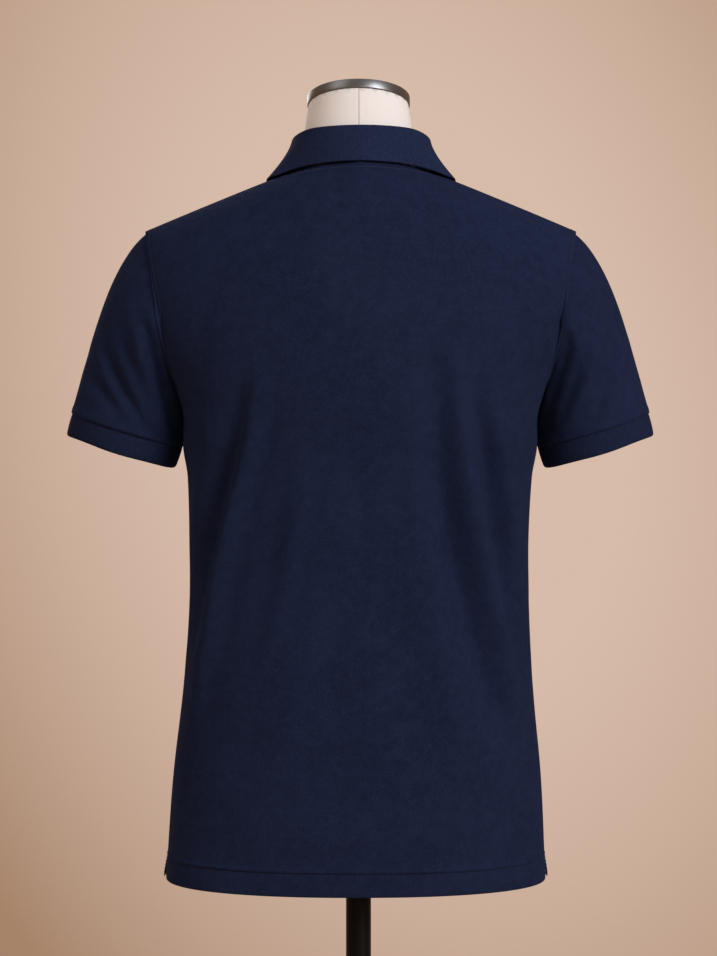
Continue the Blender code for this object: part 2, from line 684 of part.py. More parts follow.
def stand():
    gap = SEAM
    flange_top = CHEST + FORM_BOTTOM - gap
    socket_top = BASE_THICK + gap + 0.055
    turned("base_plate", [(BASE_RADIUS - 0.001, 0.0), (BASE_RADIUS, 0.001),
                          (BASE_RADIUS, BASE_THICK - 0.002), (BASE_RADIUS - 0.002, BASE_THICK)],
           BLACK, 72)
    closed_turn("foot_socket", [(POLE_RADIUS + gap, BASE_THICK + gap), (0.030, BASE_THICK + gap),
                                (0.030, BASE_THICK + 0.006), (0.019, BASE_THICK + 0.010),
                                (0.019, socket_top), (POLE_RADIUS + gap, socket_top)], BLACK)
    turned("pole", [(POLE_RADIUS, BASE_THICK + gap), (POLE_RADIUS, flange_top - 0.006 - gap)], BLACK, 32)
    turned("pole_flange", [(0.034, flange_top - 0.006), (0.036, flange_top - 0.004), (0.036, flange_top)],
           BLACK)


def closed_turn(name, profile, finish, sides=48):
    angles = [2 * math.pi * i / sides for i in range(sides)]
    rings = [[(r * math.cos(a), r * math.sin(a), z) for a in angles] for r, z in profile]
    return closed_band(name, rings, finish)


# ---------------------------------------------------------------- the whole garment
def slit_cells(front):
    """The cells of the front that the placket slit leaves out."""
    cut = np.zeros((front.shape[0] - 1, front.shape[1] - 1), dtype=bool)
    cut[slit_row(front):, HALF_COLUMNS - 1:HALF_COLUMNS + 1] = True
    return cut


def shirt():
    back, front = panel_grid(True), panel_grid(False)
    cloth_wall("back_panel", back, CLOTH, PIQUE)
    cloth_wall("front_panel", front, CLOTH, PIQUE, cut=slit_cells(front))
    ring = armhole_ring(back, front)
    sleeve, cuff = sleeve_grid(ring), cuff_grid(ring_turns(ring))
    for side, name in ((1, "left"), (-1, "right")):
        shaped = sleeve if side > 0 else other_side(sleeve)
        band = cuff if side > 0 else other_side(cuff)
        cloth_wall("sleeve_" + name, shaped, CLOTH, PIQUE, closed=True)
        cloth_wall("cuff_" + name, band, RIB, RIB_KNIT, closed=True)
    cloth_wall("collar", collar_grid(), RIB, RIB_KNIT)
    placket(front)


def main():
    for obj in list(bpy.data.objects):
        bpy.data.objects.remove(obj, do_unlink=True)
    shirt()
    dress_form()
    stand()


main()
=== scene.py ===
"""The looks of a short-sleeved polo shirt worn on a limbless dress form.

Run it as a script in Blender 4.5 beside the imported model, or open it in the Text Editor.
The front faces -Y, the back +Y and the wearer's left +X. Lengths are in metres.
"""
import math
from collections import namedtuple

import bmesh
import bpy
import numpy as np
from bpy.props import FloatProperty, FloatVectorProperty, PointerProperty
from mathutils import Matrix, Vector


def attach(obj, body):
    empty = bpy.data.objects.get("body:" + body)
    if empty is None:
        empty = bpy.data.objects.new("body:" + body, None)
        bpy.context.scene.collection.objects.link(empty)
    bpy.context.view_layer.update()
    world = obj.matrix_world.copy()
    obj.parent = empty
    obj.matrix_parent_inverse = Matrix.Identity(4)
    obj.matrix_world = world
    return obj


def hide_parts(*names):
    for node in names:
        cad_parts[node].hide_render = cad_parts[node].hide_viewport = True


bl_info = {
    "name": "Polo Shirt on a Dress Form",
    "version": (1, 0, 0),
    "blender": (4, 5, 0),
    "location": "3D View > Sidebar > Polo Shirt",
    "description": "Adds a knitted polo shirt, its dress form and a small studio",
    "category": "Add Mesh",
}

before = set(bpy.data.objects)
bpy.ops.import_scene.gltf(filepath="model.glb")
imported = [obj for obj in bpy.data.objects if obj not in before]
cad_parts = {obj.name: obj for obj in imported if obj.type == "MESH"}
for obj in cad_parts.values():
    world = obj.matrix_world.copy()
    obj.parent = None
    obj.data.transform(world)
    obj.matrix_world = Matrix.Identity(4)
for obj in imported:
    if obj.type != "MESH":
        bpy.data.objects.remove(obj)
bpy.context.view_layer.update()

# ---------------------------------------------------------------- sizes of the garment
CHEST = 1.140                             # heights in the tables are measured from here
SHIRT_HEM = -0.398
HEM = CHEST + SHIRT_HEM
VENT_TOP = -0.366
UNDERARM = 0.072
SHOULDER_BASE = 0.150
TIP_X = 0.214
TIP_HEIGHT = 0.2455
SHOULDER_SLOPE = 0.408
SEAM_Y = -0.012
NECK_X = 0.069
NECK_BACK = 0.070
NECK_FRONT = 0.066
ARM_UNDER_X = 0.176
ARM_BACK_X = 0.1945
ARM_FRONT_X = 0.1925
CUFF_CENTRE = (0.2325, -0.017, 0.0495)
CUFF_TOP = 0.0565
CUFF_END = 0.0562
CUFF_LENGTH = 0.0224
CUFF_LEAN = 17.1
CUFF_FORWARD = 4.0
SLEEVE_LAP = 0.0016
PLACKET_HALF = 0.0155
SLIT_BOTTOM = 0.098
COLLAR_FOLD = 0.343
STAND_INSET = 0.0024
STAND_LIFT = 0.0019
LEAF_REST = 0.0024                        # how high the leaf lies over the shirt
LEAF_X = 0.0925
FOLD_BEND = 0.0019                        # radius of the collar's fold
COLLAR_GAP = 5.0                          # degrees from the middle of the front to a collar end
LEAF_POINT = (0.047, -0.095)
RIB_WALL = 0.0018
HEM_STITCH = 0.0212                       # the hem's row of stitches above the edge
SEAM_GAP = 0.0003
PANEL_WALL = 0.0012
THREAD_LIFT = PANEL_WALL / 2              # stitches lie on the wall's outer face
SLEEVE_TUCK = 0.0020                      # how far the sleeve starts inside the armhole's edge
BUTTON_RADIUS = 0.0057
BUTTON_THICK = 0.0026
BUTTON_HOLE = 0.00115                     # from the button's middle to a hole, both ways
BUTTONS = (("button_top", 0.013), ("button_middle", 0.069), ("button_bottom", 0.125))
FORM_BOTTOM = -0.340
NECK_TILT = 10.5                          # degrees that the neck's flat top falls to the front
NECK_TOP = 0.0503                         # radius of the neck's flat top
NECK_TOP_Y = -0.0065
NECK_TOP_HEIGHT = 0.3725
BAND_HEIGHT = 0.0095
POLE_RADIUS = 0.0125
FLANGE_RADIUS = 0.036
FLANGE_THICK = 0.006
FOOT_RADIUS = 0.030
SOCKET_RADIUS = 0.019
SOCKET_HEIGHT = 0.055
BASE_RADIUS = 0.185
BASE_THICK = 0.008
NAPE_CROWN = 0.70                         # below 1 the cloth rises fuller behind the neck
LEAF_EDGE = 0.3062                        # height of the leaf's edge at the middle of the back
LEAF_BOW = 185.0                          # and how fast it drops to the sides
LEAF_SIDE = 0.083                         # how fast the edge runs to the back from the shoulder seam
FACING_GAP = 0.0088                       # the neck facing's stitches below the leaf's edge
ARMHOLE_STITCHES = (0.0017, 0.0079)       # rows of stitches in from a panel's armhole edge
ARMHOLE_DITCH = 0.00025
ARMHOLE_LIP = 0.0002
CAMERA_DISTANCE = 2.0
CAMERA_LENS = 75.3                        # millimetres, on a sensor 36 wide
CEILING = (0.50, 0.49, 0.49)              # radiance of the ceiling over the studio

# How finely the sheets are laid out
ROW_STEP = 0.0046
SIDE_COLUMNS = 50
CENTRE_COLUMNS = 4
SHOULDER_ROWS = 44
SLEEVE_HALF = 56
SLEEVE_ROWS = 54
COLLAR_COLUMNS = 150
LEAF_ROWS = 18

Section = namedtuple("Section", "height half_width back front squareness")
BODY = [
    Section(-0.398, 0.1912, 0.105, 0.113, 2.30),
    Section(-0.300, 0.1845, 0.106, 0.116, 2.30),
    Section(-0.200, 0.1735, 0.104, 0.118, 2.30),
    Section(-0.100, 0.1676, 0.102, 0.121, 2.30),
    Section(0.000, 0.1698, 0.107, 0.127, 2.30),
    Section(0.030, 0.1742, 0.1096, 0.1283, 2.36),
    Section(0.072, 0.1760, 0.114, 0.130, 2.45),
    Section(0.150, 0.2160, 0.116, 0.125, 2.60),
]

# How far the right side of the shirt is moved across at a height.
WORN_SHIFT = [(-0.400, 0.0055), (-0.340, 0.0040), (-0.180, 0.0), (-0.020, -0.0020), (0.070, -0.0040),
              (0.250, -0.0045), (0.340, -0.0055)]

# Creases as seen from behind or before. A path is (x, height) points; depth below 0 is a trough.
Crease = namedtuple("Crease", "path width depth")
BACK_CREASES = [
    Crease([(0.1105, 0.076), (0.120, 0.027), (0.136, -0.027), (0.151, -0.089),
            (0.163, -0.160)], 0.0100, -0.0078),
    Crease([(0.095, 0.100), (0.1055, 0.027), (0.120, -0.027), (0.135, -0.089),
            (0.148, -0.160), (0.161, -0.235)], 0.0092, 0.0078),
    Crease([(0.079, 0.060), (0.083, -0.010), (0.097, -0.089), (0.115, -0.170)], 0.0150, -0.0022),
    Crease([(0.070, 0.010), (0.073, -0.030), (0.084, -0.092), (0.104, -0.175)], 0.0090, -0.0013),
    Crease([(0.0540, 0.010), (0.0570, -0.030), (0.068, -0.095), (0.088, -0.180)], 0.0110, 0.0016),
    Crease([(0.144, 0.085), (0.148, 0.030), (0.156, -0.030)], 0.0080, 0.0022),
    Crease([(0.040, -0.100), (0.058, -0.190), (0.086, -0.300)], 0.0170, 0.0016),
    Crease([(0.010, 0.040), (0.000, -0.020), (-0.006, -0.090)], 0.0140, -0.0016),
    Crease([(0.020, -0.190), (0.012, -0.280), (0.022, -0.350)], 0.0200, -0.0014),
    Crease([(-0.073, 0.098), (-0.073, 0.060), (-0.073, 0.010), (-0.086, -0.066), (-0.110, -0.150),
            (-0.134, -0.235)], 0.0125, -0.0070),
    Crease([(-0.086, 0.116), (-0.0905, 0.080), (-0.0975, 0.011), (-0.1125, -0.066), (-0.133, -0.150),
            (-0.153, -0.235)], 0.0125, 0.0106),
    Crease([(-0.1040, 0.085), (-0.122, 0.011), (-0.1365, -0.066), (-0.152, -0.150), (-0.162, -0.200)],
           0.0092, -0.0078),
    Crease([(-0.1190, 0.080), (-0.141, 0.011), (-0.1530, -0.066), (-0.161, -0.110)], 0.0080, 0.0036),
    Crease([(-0.046, -0.060), (-0.072, -0.150), (-0.104, -0.262)], 0.0150, 0.0026),
    Crease([(-0.028, -0.120), (-0.048, -0.200), (-0.080, -0.300)], 0.0160, -0.0018),
    Crease([(0.1280, 0.200), (0.1470, 0.155), (0.1600, 0.105)], 0.0120, -0.0016),
    Crease([(-0.1240, 0.198), (-0.1450, 0.152), (-0.1560, 0.108)], 0.0120, -0.0014),
]
FRONT_CREASES = [
    Crease([(0.1180, 0.110), (0.1170, 0.060), (0.1330, -0.040), (0.1540, -0.160)], 0.0130, -0.0060),
    Crease([(0.1040, 0.080), (0.1120, 0.000), (0.1340, -0.120), (0.1500, -0.200)], 0.0090, 0.0036),
    Crease([(0.1410, 0.075), (0.1480, 0.010), (0.1560, -0.060)], 0.0080, 0.0022),
    Crease([(0.0660, 0.000), (0.0740, -0.080), (0.0960, -0.210)], 0.0140, -0.0034),
    Crease([(0.0420, -0.050), (0.0600, -0.160), (0.0900, -0.290)], 0.0180, 0.0024),
    Crease([(-0.0960, 0.110), (-0.0960, 0.040), (-0.1120, -0.070), (-0.1420, -0.210)], 0.0125, -0.0062),
    Crease([(-0.1080, 0.090), (-0.1200, 0.000), (-0.1380, -0.100), (-0.1580, -0.200)], 0.0090, 0.0042),
    Crease([(-0.1300, 0.060), (-0.1420, -0.020), (-0.1560, -0.110)], 0.0085, -0.0030),
    Crease([(-0.0500, -0.030), (-0.0660, -0.130), (-0.0960, -0.280)], 0.0170, -0.0028),
    Crease([(-0.0260, -0.100), (-0.0360, -0.200), (-0.0640, -0.330)], 0.0180, 0.0022),
    Crease([(0.0960, 0.210), (0.1300, 0.170), (0.1560, 0.120)], 0.0120, -0.0024),
    Crease([(-0.0980, 0.215), (-0.1280, 0.170), (-0.1520, 0.125)], 0.0125, -0.0022),
]
LEFT_SLEEVE_CREASES = [
    Crease([(0.2090, 0.152), (0.1995, 0.122), (0.1890, 0.085), (0.1790, 0.035)], 0.0066, -0.0080),
    Crease([(0.2215, 0.155), (0.2115, 0.122), (0.1995, 0.080)], 0.0062, 0.0020),
    Crease([(0.2520, 0.142), (0.2400, 0.110), (0.2270, 0.082), (0.2090, 0.050)], 0.0062, -0.0046),
    Crease([(0.2440, 0.140), (0.2320, 0.108), (0.2190, 0.080), (0.2010, 0.048)], 0.0060, 0.0026),
    Crease([(0.2690, 0.122), (0.2570, 0.098), (0.2420, 0.076), (0.2270, 0.056)], 0.0064, -0.0032),
    Crease([(0.2610, 0.120), (0.2490, 0.096), (0.2340, 0.074), (0.2190, 0.054)], 0.0060, 0.0018),
]
RIGHT_SLEEVE_CREASES = [
    Crease([(-0.2020, 0.140), (-0.1950, 0.110), (-0.1830, 0.070), (-0.1760, 0.035)], 0.0080, -0.0046),
    Crease([(-0.2270, 0.150), (-0.2150, 0.115), (-0.2050, 0.088), (-0.1930, 0.052)], 0.0062, -0.0024),
    Crease([(-0.2370, 0.150), (-0.2250, 0.115), (-0.2150, 0.088), (-0.2030, 0.052)], 0.0064, 0.0028),
    Crease([(-0.2500, 0.135), (-0.2400, 0.098), (-0.2270, 0.055)], 0.0062, -0.0024),
    Crease([(-0.2600, 0.135), (-0.2500, 0.098), (-0.2370, 0.055)], 0.0064, 0.0024),
    Crease([(-0.2690, 0.110), (-0.2620, 0.075)], 0.0052, -0.0016),
]


# ---------------------------------------------------------------- small helpers
def mix(low, high, share):
    """The value a share of the way from low to high."""
    return low + (high - low) * share


def ease(low, high, value):
    """0 below low, 1 above high and smooth between."""
    share = np.clip((value - low) / (high - low), 0.0, 1.0)
    return share * share * (3.0 - 2.0 * share)


def read(table, height):
    """The section at a height, smoothly between the table's rows."""
    heights = [row.height for row in table]
    height = min(max(height, heights[0]), heights[-1])
    index = max(i for i in range(len(table) - 1) if heights[i] <= height + 1e-9)
    low, high = table[index], table[index + 1]
    before = table[max(index - 1, 0)]
    after = table[min(index + 2, len(table) - 1)]
    span = high.height - low.height
    share = (height - low.height) / span
    square, cube = share * share, share ** 3
    values = [height]
    for name in Section._fields[1:]:
        start, end = getattr(low, name), getattr(high, name)
        rise_in = (end - getattr(before, name)) / (high.height - before.height) * span
        rise_out = (getattr(after, name) - start) / (after.height - low.height) * span
        values.append((2 * cube - 3 * square + 1) * start + (cube - 2 * square + share) * rise_in
                      + (3 * square - 2 * cube) * end + (cube - square) * rise_out)
    return Section(*values)


def lengths_along(points):
    """How far along a line of points each one is."""
    return np.concatenate([[0.0], np.cumsum(np.linalg.norm(np.diff(points, axis=0), axis=1))])


def points_at(points, shares):
    """Points at shares of the length of a line of points."""
    points = np.asarray(points, dtype=float)
    lengths = lengths_along(points)
    wanted = np.asarray(shares) * lengths[-1]
    return np.stack([np.interp(wanted, lengths, points[:, axis]) for axis in range(3)], axis=1)


def grid_normals(grid, closed=False):
    """Unit normals of a grid of points; a closed grid's last column meets its first."""
    along = np.gradient(grid, axis=0)
    if closed:
        across = (np.roll(grid, -1, axis=1) - np.roll(grid, 1, axis=1)) / 2
    else:
        across = np.gradient(grid, axis=1)
    normals = np.cross(across, along)
    return normals / np.maximum(np.linalg.norm(normals, axis=2, keepdims=True), 1e-12)


def swept(first, last, leave, arrive, shares):
    """Points of a smooth curve that leaves one point and arrives at another in given ways."""
    return [(2 * s**3 - 3 * s**2 + 1) * first + (s**3 - 2 * s**2 + s) * leave
            + (3 * s**2 - 2 * s**3) * last + (s**3 - s**2) * arrive for s in shares]


# ---------------------------------------------------------------- form of the shirt's body
def ridge(x):
    """Height of the shoulder line at a distance from the middle."""
    return TIP_HEIGHT + SHOULDER_SLOPE * (TIP_X - math.hypot(x, 0.012))


def wall_point(height, angle):
    """A point of the upright part: angle 0 is the side, 90 the back, -90 the front."""
    section = read(BODY, height)
    power = 2.0 / section.squareness
    half = section.half_width
    if angle < 0:
        half += 0.003 * float(ease(-VENT_TOP, -SHIRT_HEM, -height))
    depth = section.back if angle >= 0 else -section.front
    turn = math.radians(abs(angle))
    return (half * math.cos(turn) ** power, depth * math.sin(turn) ** power, CHEST + height)


def shoulder_point(x, turn):
    """A point over the shoulder: turn 0 is the back wall, 90 the ridge, 180 the front wall."""
    base = BODY[-1]
    share = (1.0 - min(abs(x) / base.half_width, 1.0) ** base.squareness) ** (1 / base.squareness)
    cosine, sine = math.cos(math.radians(turn)), math.sin(math.radians(turn))
    if cosine >= 0:
        rise = sine ** mix(NAPE_CROWN, 1.0, float(ease(0.030, 0.130, abs(x))))
        return (x, base.back * share * cosine, CHEST + mix(SHOULDER_BASE, ridge(x), rise))
    outer = float(ease(0.060, 0.150, abs(x)))
    slope, crown = mix(1.25, 2.0, outer), mix(1.12, 2.0, outer)
    rise = (sine * sine) ** (1.0 / crown)
    return (x, -base.front * share * (-cosine) ** (2.0 / slope),
            CHEST + mix(SHOULDER_BASE, ridge(x), rise))


def turn_at(x, y):
    """The turn at which the shoulder surface passes over (x, y)."""
    low, high = 0.0, 180.0
    for _ in range(30):
        middle = (low + high) / 2
        if shoulder_point(x, middle)[1] > y:
            low = middle
        else:
            high = middle
    return (low + high) / 2


def surface_height(x, y, lift=0.0):
    """Height of the shirt over a place in plan, or of a layer lifted square off it."""
    here = shoulder_point(x, turn_at(x, y))[2]
    if not lift:
        return here
    step = 0.002
    slope_x = (shoulder_point(x + step, turn_at(x + step, y))[2] - here) / step
    slope_y = (shoulder_point(x, turn_at(x, y + step))[2] - here) / step
    return here + lift * math.sqrt(1.0 + slope_x ** 2 + slope_y ** 2)


def side_angle(height, back):
    """Where a panel starts at its side: on the side seam, or on the armhole above it."""
    if height <= UNDERARM:
        return 0.0
    section = read(BODY, height)
    base_x = ARM_BACK_X if back else ARM_FRONT_X
    reach = mix(ARM_UNDER_X, base_x, ((height - UNDERARM) / (SHOULDER_BASE - UNDERARM)) ** 0.8)
    share = min(reach / section.half_width, 1.0)
    return math.degrees(math.acos(share ** (section.squareness / 2)))


def armhole(share, back):
    """The armhole's edge above SHOULDER_BASE, from the wall (0) to the shoulder seam (1)."""
    x = mix(ARM_BACK_X if back else ARM_FRONT_X, TIP_X, math.sin(math.radians(90 * share)))
    seam_turn = turn_at(TIP_X, SEAM_Y)
    return shoulder_point(x, mix(0.0 if back else 180.0, seam_turn, share))


def top_edge(back):
    """A panel's upper edge in plan as a line of points, and the neck point's share of it."""
    drop = NECK_BACK if back else -NECK_FRONT
    seam = [(mix(TIP_X, NECK_X, s / 40), SEAM_Y) for s in range(40)]
    last = math.acos(PLACKET_HALF / NECK_X)
    neck = [(NECK_X * math.cos(last * s / 60), SEAM_Y + drop * math.sin(last * s / 60))
            for s in range(61)]
    line = np.array([(x, y, surface_height(x, y)) for x, y in seam + neck])
    lengths = lengths_along(line)
    return line, lengths[40] / lengths[-1]


def column_shares(back):
    """Shares of the way from a panel's side to its slit line, close together at the edge."""
    _, corner = top_edge(back)
    near = np.array([0.0, 0.7, 1.7, 2.7, 3.7, 4.7, 5.7, 6.8, 7.9, 9.0, 10.5]) / 310.0
    shares = np.concatenate([near, np.linspace(0.043, 1.0, SIDE_COLUMNS)])
    shares[np.argmin(abs(shares - corner))] = corner
    return shares


def row_heights():
    """Heights of the rows of the upright part, with close ones along the hem's stitches."""
    count = int((SHOULDER_BASE - SHIRT_HEM) / ROW_STEP)
    heights = set(np.round(np.linspace(SHIRT_HEM, SHOULDER_BASE, count), 5))
    heights |= {round(SHIRT_HEM + HEM_STITCH + step * 0.0009, 5) for step in range(-3, 7)}
    heights |= {SHIRT_HEM + 0.0006, SHIRT_HEM + 0.0016, SLIT_BOTTOM, UNDERARM, UNDERARM + 0.0012,
                UNDERARM + 0.003}
    kept = []
    for height in sorted(heights):
        if not kept or height - kept[-1] > 0.0005:
            kept.append(height)
    return kept


def panel_grid(back):
    """The middle surface of the front or the back, hem first, from the left to the right side."""
    shares = column_shares(back)
    sign = 1 if back else -1
    rows = []
    for height in row_heights():
        edge = side_angle(height, back)
        section = read(BODY, height)
        slit = math.degrees(math.acos((PLACKET_HALF / section.half_width) ** (section.squareness / 2)))
        fine = [wall_point(height, sign * max(mix(edge, slit, s / 70), 0.001)) for s in range(71)]
        centre = [wall_point(height, sign * mix(slit, 90.0, s / CENTRE_COLUMNS))
                  for s in range(1, CENTRE_COLUMNS + 1)]
        rows.append(np.concatenate([points_at(fine, shares), centre]))
    base = rows[-1]
    line, _ = top_edge(back)
    top = points_at(line, shares)
    drop = NECK_BACK if back else -NECK_FRONT
    middle = [(x, SEAM_Y + drop * math.sqrt(1 - (x / NECK_X) ** 2))
              for x in (mix(PLACKET_HALF, 0.0, s / CENTRE_COLUMNS) for s in range(1, CENTRE_COLUMNS + 1))]
    ends = [tuple(point[:2]) for point in top] + middle
    turns = [turn_at(x, y) for x, y in ends]
    start = 0.0 if back else 180.0
    for step in range(1, SHOULDER_ROWS + 1):
        share = step / SHOULDER_ROWS
        row = [armhole(share, back)]
        for column in range(1, len(ends)):
            x = mix(base[column][0], ends[column][0], math.sin(math.radians(90 * share)))
            row.append(shoulder_point(x, mix(start, turns[column], share)))
        rows.append(np.array(row))
    half = soften_rows(np.array(rows))
    return np.concatenate([half, other_side(half[:, :-1])], axis=1)


def soften_rows(grid):
    """Round off the bend where the upright rows turn into the shoulder."""
    bend = len(row_heights()) - 1
    rows = np.arange(grid.shape[0])
    strength = np.exp(-((rows - bend) / 11.0) ** 2)[:, None, None]
    inward = np.minimum(np.arange(grid.shape[1]) / 7.0, 1.0)[None, :, None]
    out = grid.copy()
    for _ in range(60):
        middle = (out[:-2] + out[2:]) / 2
        out[1:-1] += (middle - out[1:-1]) * 0.8 * (strength * inward)[1:-1]
    above = np.clip((rows - bend + 8) / 12.0, 0, 1) * np.clip((grid.shape[0] - 1 - rows) / 3.0, 0, 1)
    beside = np.clip((np.arange(grid.shape[1]) - 11) / 8.0, 0, 1)
    weight = (above[:, None] * beside[None, :])[..., None]
    for _ in range(40):
        middle = (out[:, :-2] + out[:, 2:]) / 2
        out[:, 1:-1] += (middle - out[:, 1:-1]) * 0.7 * weight[:, 1:-1]
    return out


def crease_shift(grid, creases):
    """How far a grid's points move along their normals for a list of creases."""
    flat = grid[..., [0, 2]]
    shift = np.zeros(grid.shape[:2])
    for crease in creases:
        path = np.array([(x, CHEST + height) for x, height in crease.path])
        lengths = lengths_along(path)
        nearest = np.full(grid.shape[:2], 1e9)
        place = np.zeros(grid.shape[:2])
        for index in range(len(path) - 1):
            along = path[index + 1] - path[index]
            share = np.clip((flat - path[index]) @ along / (along @ along), 0.0, 1.0)
            away = np.linalg.norm(flat - path[index] - share[..., None] * along, axis=-1)
            closer = away < nearest
            nearest = np.where(closer, away, nearest)
            place = np.where(closer, lengths[index] + share * (lengths[index + 1] - lengths[index]), place)
        fade = np.sin(np.pi * np.clip(0.06 + 0.88 * place / lengths[-1], 0, 1)) ** 0.8
        core = np.exp(-(nearest / crease.width) ** 2)
        shoulder = np.exp(-((nearest - 1.9 * crease.width) / crease.width) ** 2)
        shift += crease.depth * fade * (core - 0.28 * shoulder)
    return shift


def outward_normals(grid, side):
    """Normals of an open panel that point to the back (side 1) or the front (side -1)."""
    normals = grid_normals(grid)
    return normals * np.sign(normals[..., 1].mean()) * side


def hem_shift(grid):
    """The turned-up hem: a full band, the ditch that its stitches pull in and the lip above it."""
    above = grid[..., 2] - HEM
    band = 0.0006 * (1 - ease(HEM_STITCH - 0.001, HEM_STITCH + 0.002, above))
    roll = -0.0007 * (1 - ease(0.0, 0.0022, above))
    ditch = -0.0011 * np.exp(-((above - HEM_STITCH) / 0.0012) ** 2)
    lip = 0.0019 * np.exp(-((above - HEM_STITCH - 0.0034) / 0.0020) ** 2)
    return band + roll + ditch + lip


def as_worn(points):
    """The shirt hangs askew: its right side stands out a little above and hangs in below."""
    heights, moves = zip(*WORN_SHIFT)
    worn = np.array(points, dtype=float)
    side = 1.0 - ease(-0.06, 0.06, worn[..., 0])
    worn[..., 0] += side * np.interp(worn[..., 2] - CHEST, heights, moves)
    return worn


def worn_panel(back):
    """A panel with its creases and its hem."""
    side = 1 if back else -1
    grid = panel_grid(back)
    normals = outward_normals(grid, side)
    shift = crease_shift(grid, BACK_CREASES if back else FRONT_CREASES) + hem_shift(grid)
    from_left = np.cumsum(np.linalg.norm(np.diff(grid, axis=1, prepend=grid[:, :1]), axis=2), axis=1)
    from_edge = np.minimum(from_left, from_left[:, -1:] - from_left)
    from_top = np.cumsum(np.linalg.norm(np.diff(grid[::-1], axis=0, prepend=grid[-1:]), axis=2), axis=0)[::-1]
    shift = shift * ease(-0.002, 0.016, from_edge) * ease(0.0, 0.014, from_top)
    arm = ease(UNDERARM - 0.002, UNDERARM + 0.006, grid[..., 2] - CHEST)
    shift += arm * ARMHOLE_LIP * np.exp(-((from_edge - 0.0045) / 0.0028) ** 2)
    shift -= arm * 0.0006 * np.exp(-(from_edge / 0.0010) ** 2)
    for line in ARMHOLE_STITCHES:
        shift -= arm * ARMHOLE_DITCH * np.exp(-((from_edge - line) / 0.0010) ** 2)
    shift -= 0.0004 * np.exp(-(from_edge / 0.0012) ** 2)
    facing = np.clip(normals[..., 1] * side * 2.5, 0.35, 1.0)
    return grid + normals * (shift * facing)[..., None]


# ---------------------------------------------------------------- sleeves and cuffs
def cuff_frame():
    """Unit vectors of the sleeve's end: down the arm, outwards and backwards across it."""
    lean, forward = math.radians(CUFF_LEAN), math.radians(CUFF_FORWARD)
    outwards = np.array([math.cos(lean), 0.0, math.sin(lean)])
    down = np.array([math.sin(lean), -math.sin(forward), -math.cos(lean)])
    down /= np.linalg.norm(down)
    backwards = np.cross(outwards, down)
    backwards *= np.sign(backwards[1])
    return down, outwards, backwards / np.linalg.norm(backwards)


def cuff_ring(distance, radius, turns):
    """A ring round the left arm, a distance below the sleeve's end, from the inside over the back."""
    down, outwards, backwards = cuff_frame()
    centre = np.array(CUFF_CENTRE) + np.array([0, 0, CHEST]) + down * distance
    turns = np.asarray(turns)[:, None]
    return centre + radius * (-np.cos(turns) * outwards + np.sin(turns) * backwards)


def armhole_ring(back, front):
    """The left armhole's edge from the underarm up the back, over the tip and down the front."""
    start = int(np.argmax(back[:, 0, 2] > CHEST + UNDERARM - 1e-6))
    rear, fore = back[start:, 0].copy(), front[start:, 0].copy()
    rear[0] = mix(rear[0], fore[0], 0.5)
    rear[-1] = mix(rear[-1], fore[-1], 0.5)
    ring = np.concatenate([rear, fore[-2:0:-1]])
    around = np.concatenate([ring, ring[:1]])
    return points_at(around, np.linspace(0, 1, 2 * SLEEVE_HALF, endpoint=False))


def turns_round(ring):
    """How far round a closed ring each of its points is, in radians."""
    steps = np.linalg.norm(np.roll(ring, -1, axis=0) - ring, axis=1)
    return 2 * math.pi * np.concatenate([[0.0], np.cumsum(steps)[:-1]]) / steps.sum()


def sleeve_grid(ring, creases, mirrored):
    """The left sleeve from under the panels' edges down to the cuff, or its mirror's shape."""
    down, _, _ = cuff_frame()
    turns = turns_round(ring)
    end = cuff_ring(0.0, CUFF_TOP + SLEEVE_LAP, turns)
    centre = ring.mean(axis=0)
    columns = []
    shares = np.linspace(0.0, 1.0, SLEEVE_ROWS) ** 1.08
    for first, last, turn in zip(ring, end, turns):
        top = (1 - math.cos(turn)) / 2
        leave = mix(np.array([-0.32, 0.0, -0.95]), np.array([0.76, 0.0, -0.65]), float(ease(0.01, 0.45, top)))
        leave /= np.linalg.norm(leave)
        inward = centre - first
        inward -= leave * (inward @ leave)
        inward /= np.linalg.norm(inward)
        reach = np.linalg.norm(last - first)
        tucked = first + inward * SLEEVE_TUCK
        column = swept(tucked + leave * 0.0012, last, leave * reach * mix(0.7, 0.80, top),
                       down * reach * mix(0.9, 1.05, top), shares)
        columns.append([tucked - leave * 0.0050 + inward * 0.0008, tucked - leave * 0.0012] + column)
    grid = np.array(columns).transpose(1, 0, 2)
    normals = grid_normals(grid, closed=True)
    outward = normals * np.sign(((grid - grid.mean(axis=1, keepdims=True)) * normals).sum())
    rows = np.arange(grid.shape[0])
    inside = np.clip((rows - 1) / 3.0, 0, 1)[:, None]
    shift = np.zeros(grid.shape[:2])
    seen = grid * np.array([-1.0 if mirrored else 1.0, 1.0, 1.0])
    for side in (1, -1):
        facing = np.clip(outward[..., 1] * side * 2.0, 0.0, 1.0)
        shift += crease_shift(seen, creases) * facing * (1.0 if side > 0 else 0.8)
    distance = np.cumsum(np.linalg.norm(np.diff(grid[::-1], axis=0), axis=2), axis=0)
    to_end = np.concatenate([np.zeros((1, grid.shape[1])), distance])[::-1]
    settle = ease(0.0, 0.016, to_end)
    puff = 0.0005 * np.sin(9.0 * turns)[None, :] * np.exp(-((rows[:, None] - 8) / 4.0) ** 2)
    edge = 0.0011 * np.exp(-((to_end - 0.0020) / 0.0024) ** 2)
    return grid + outward * (shift * settle * inside + puff + edge)[..., None]


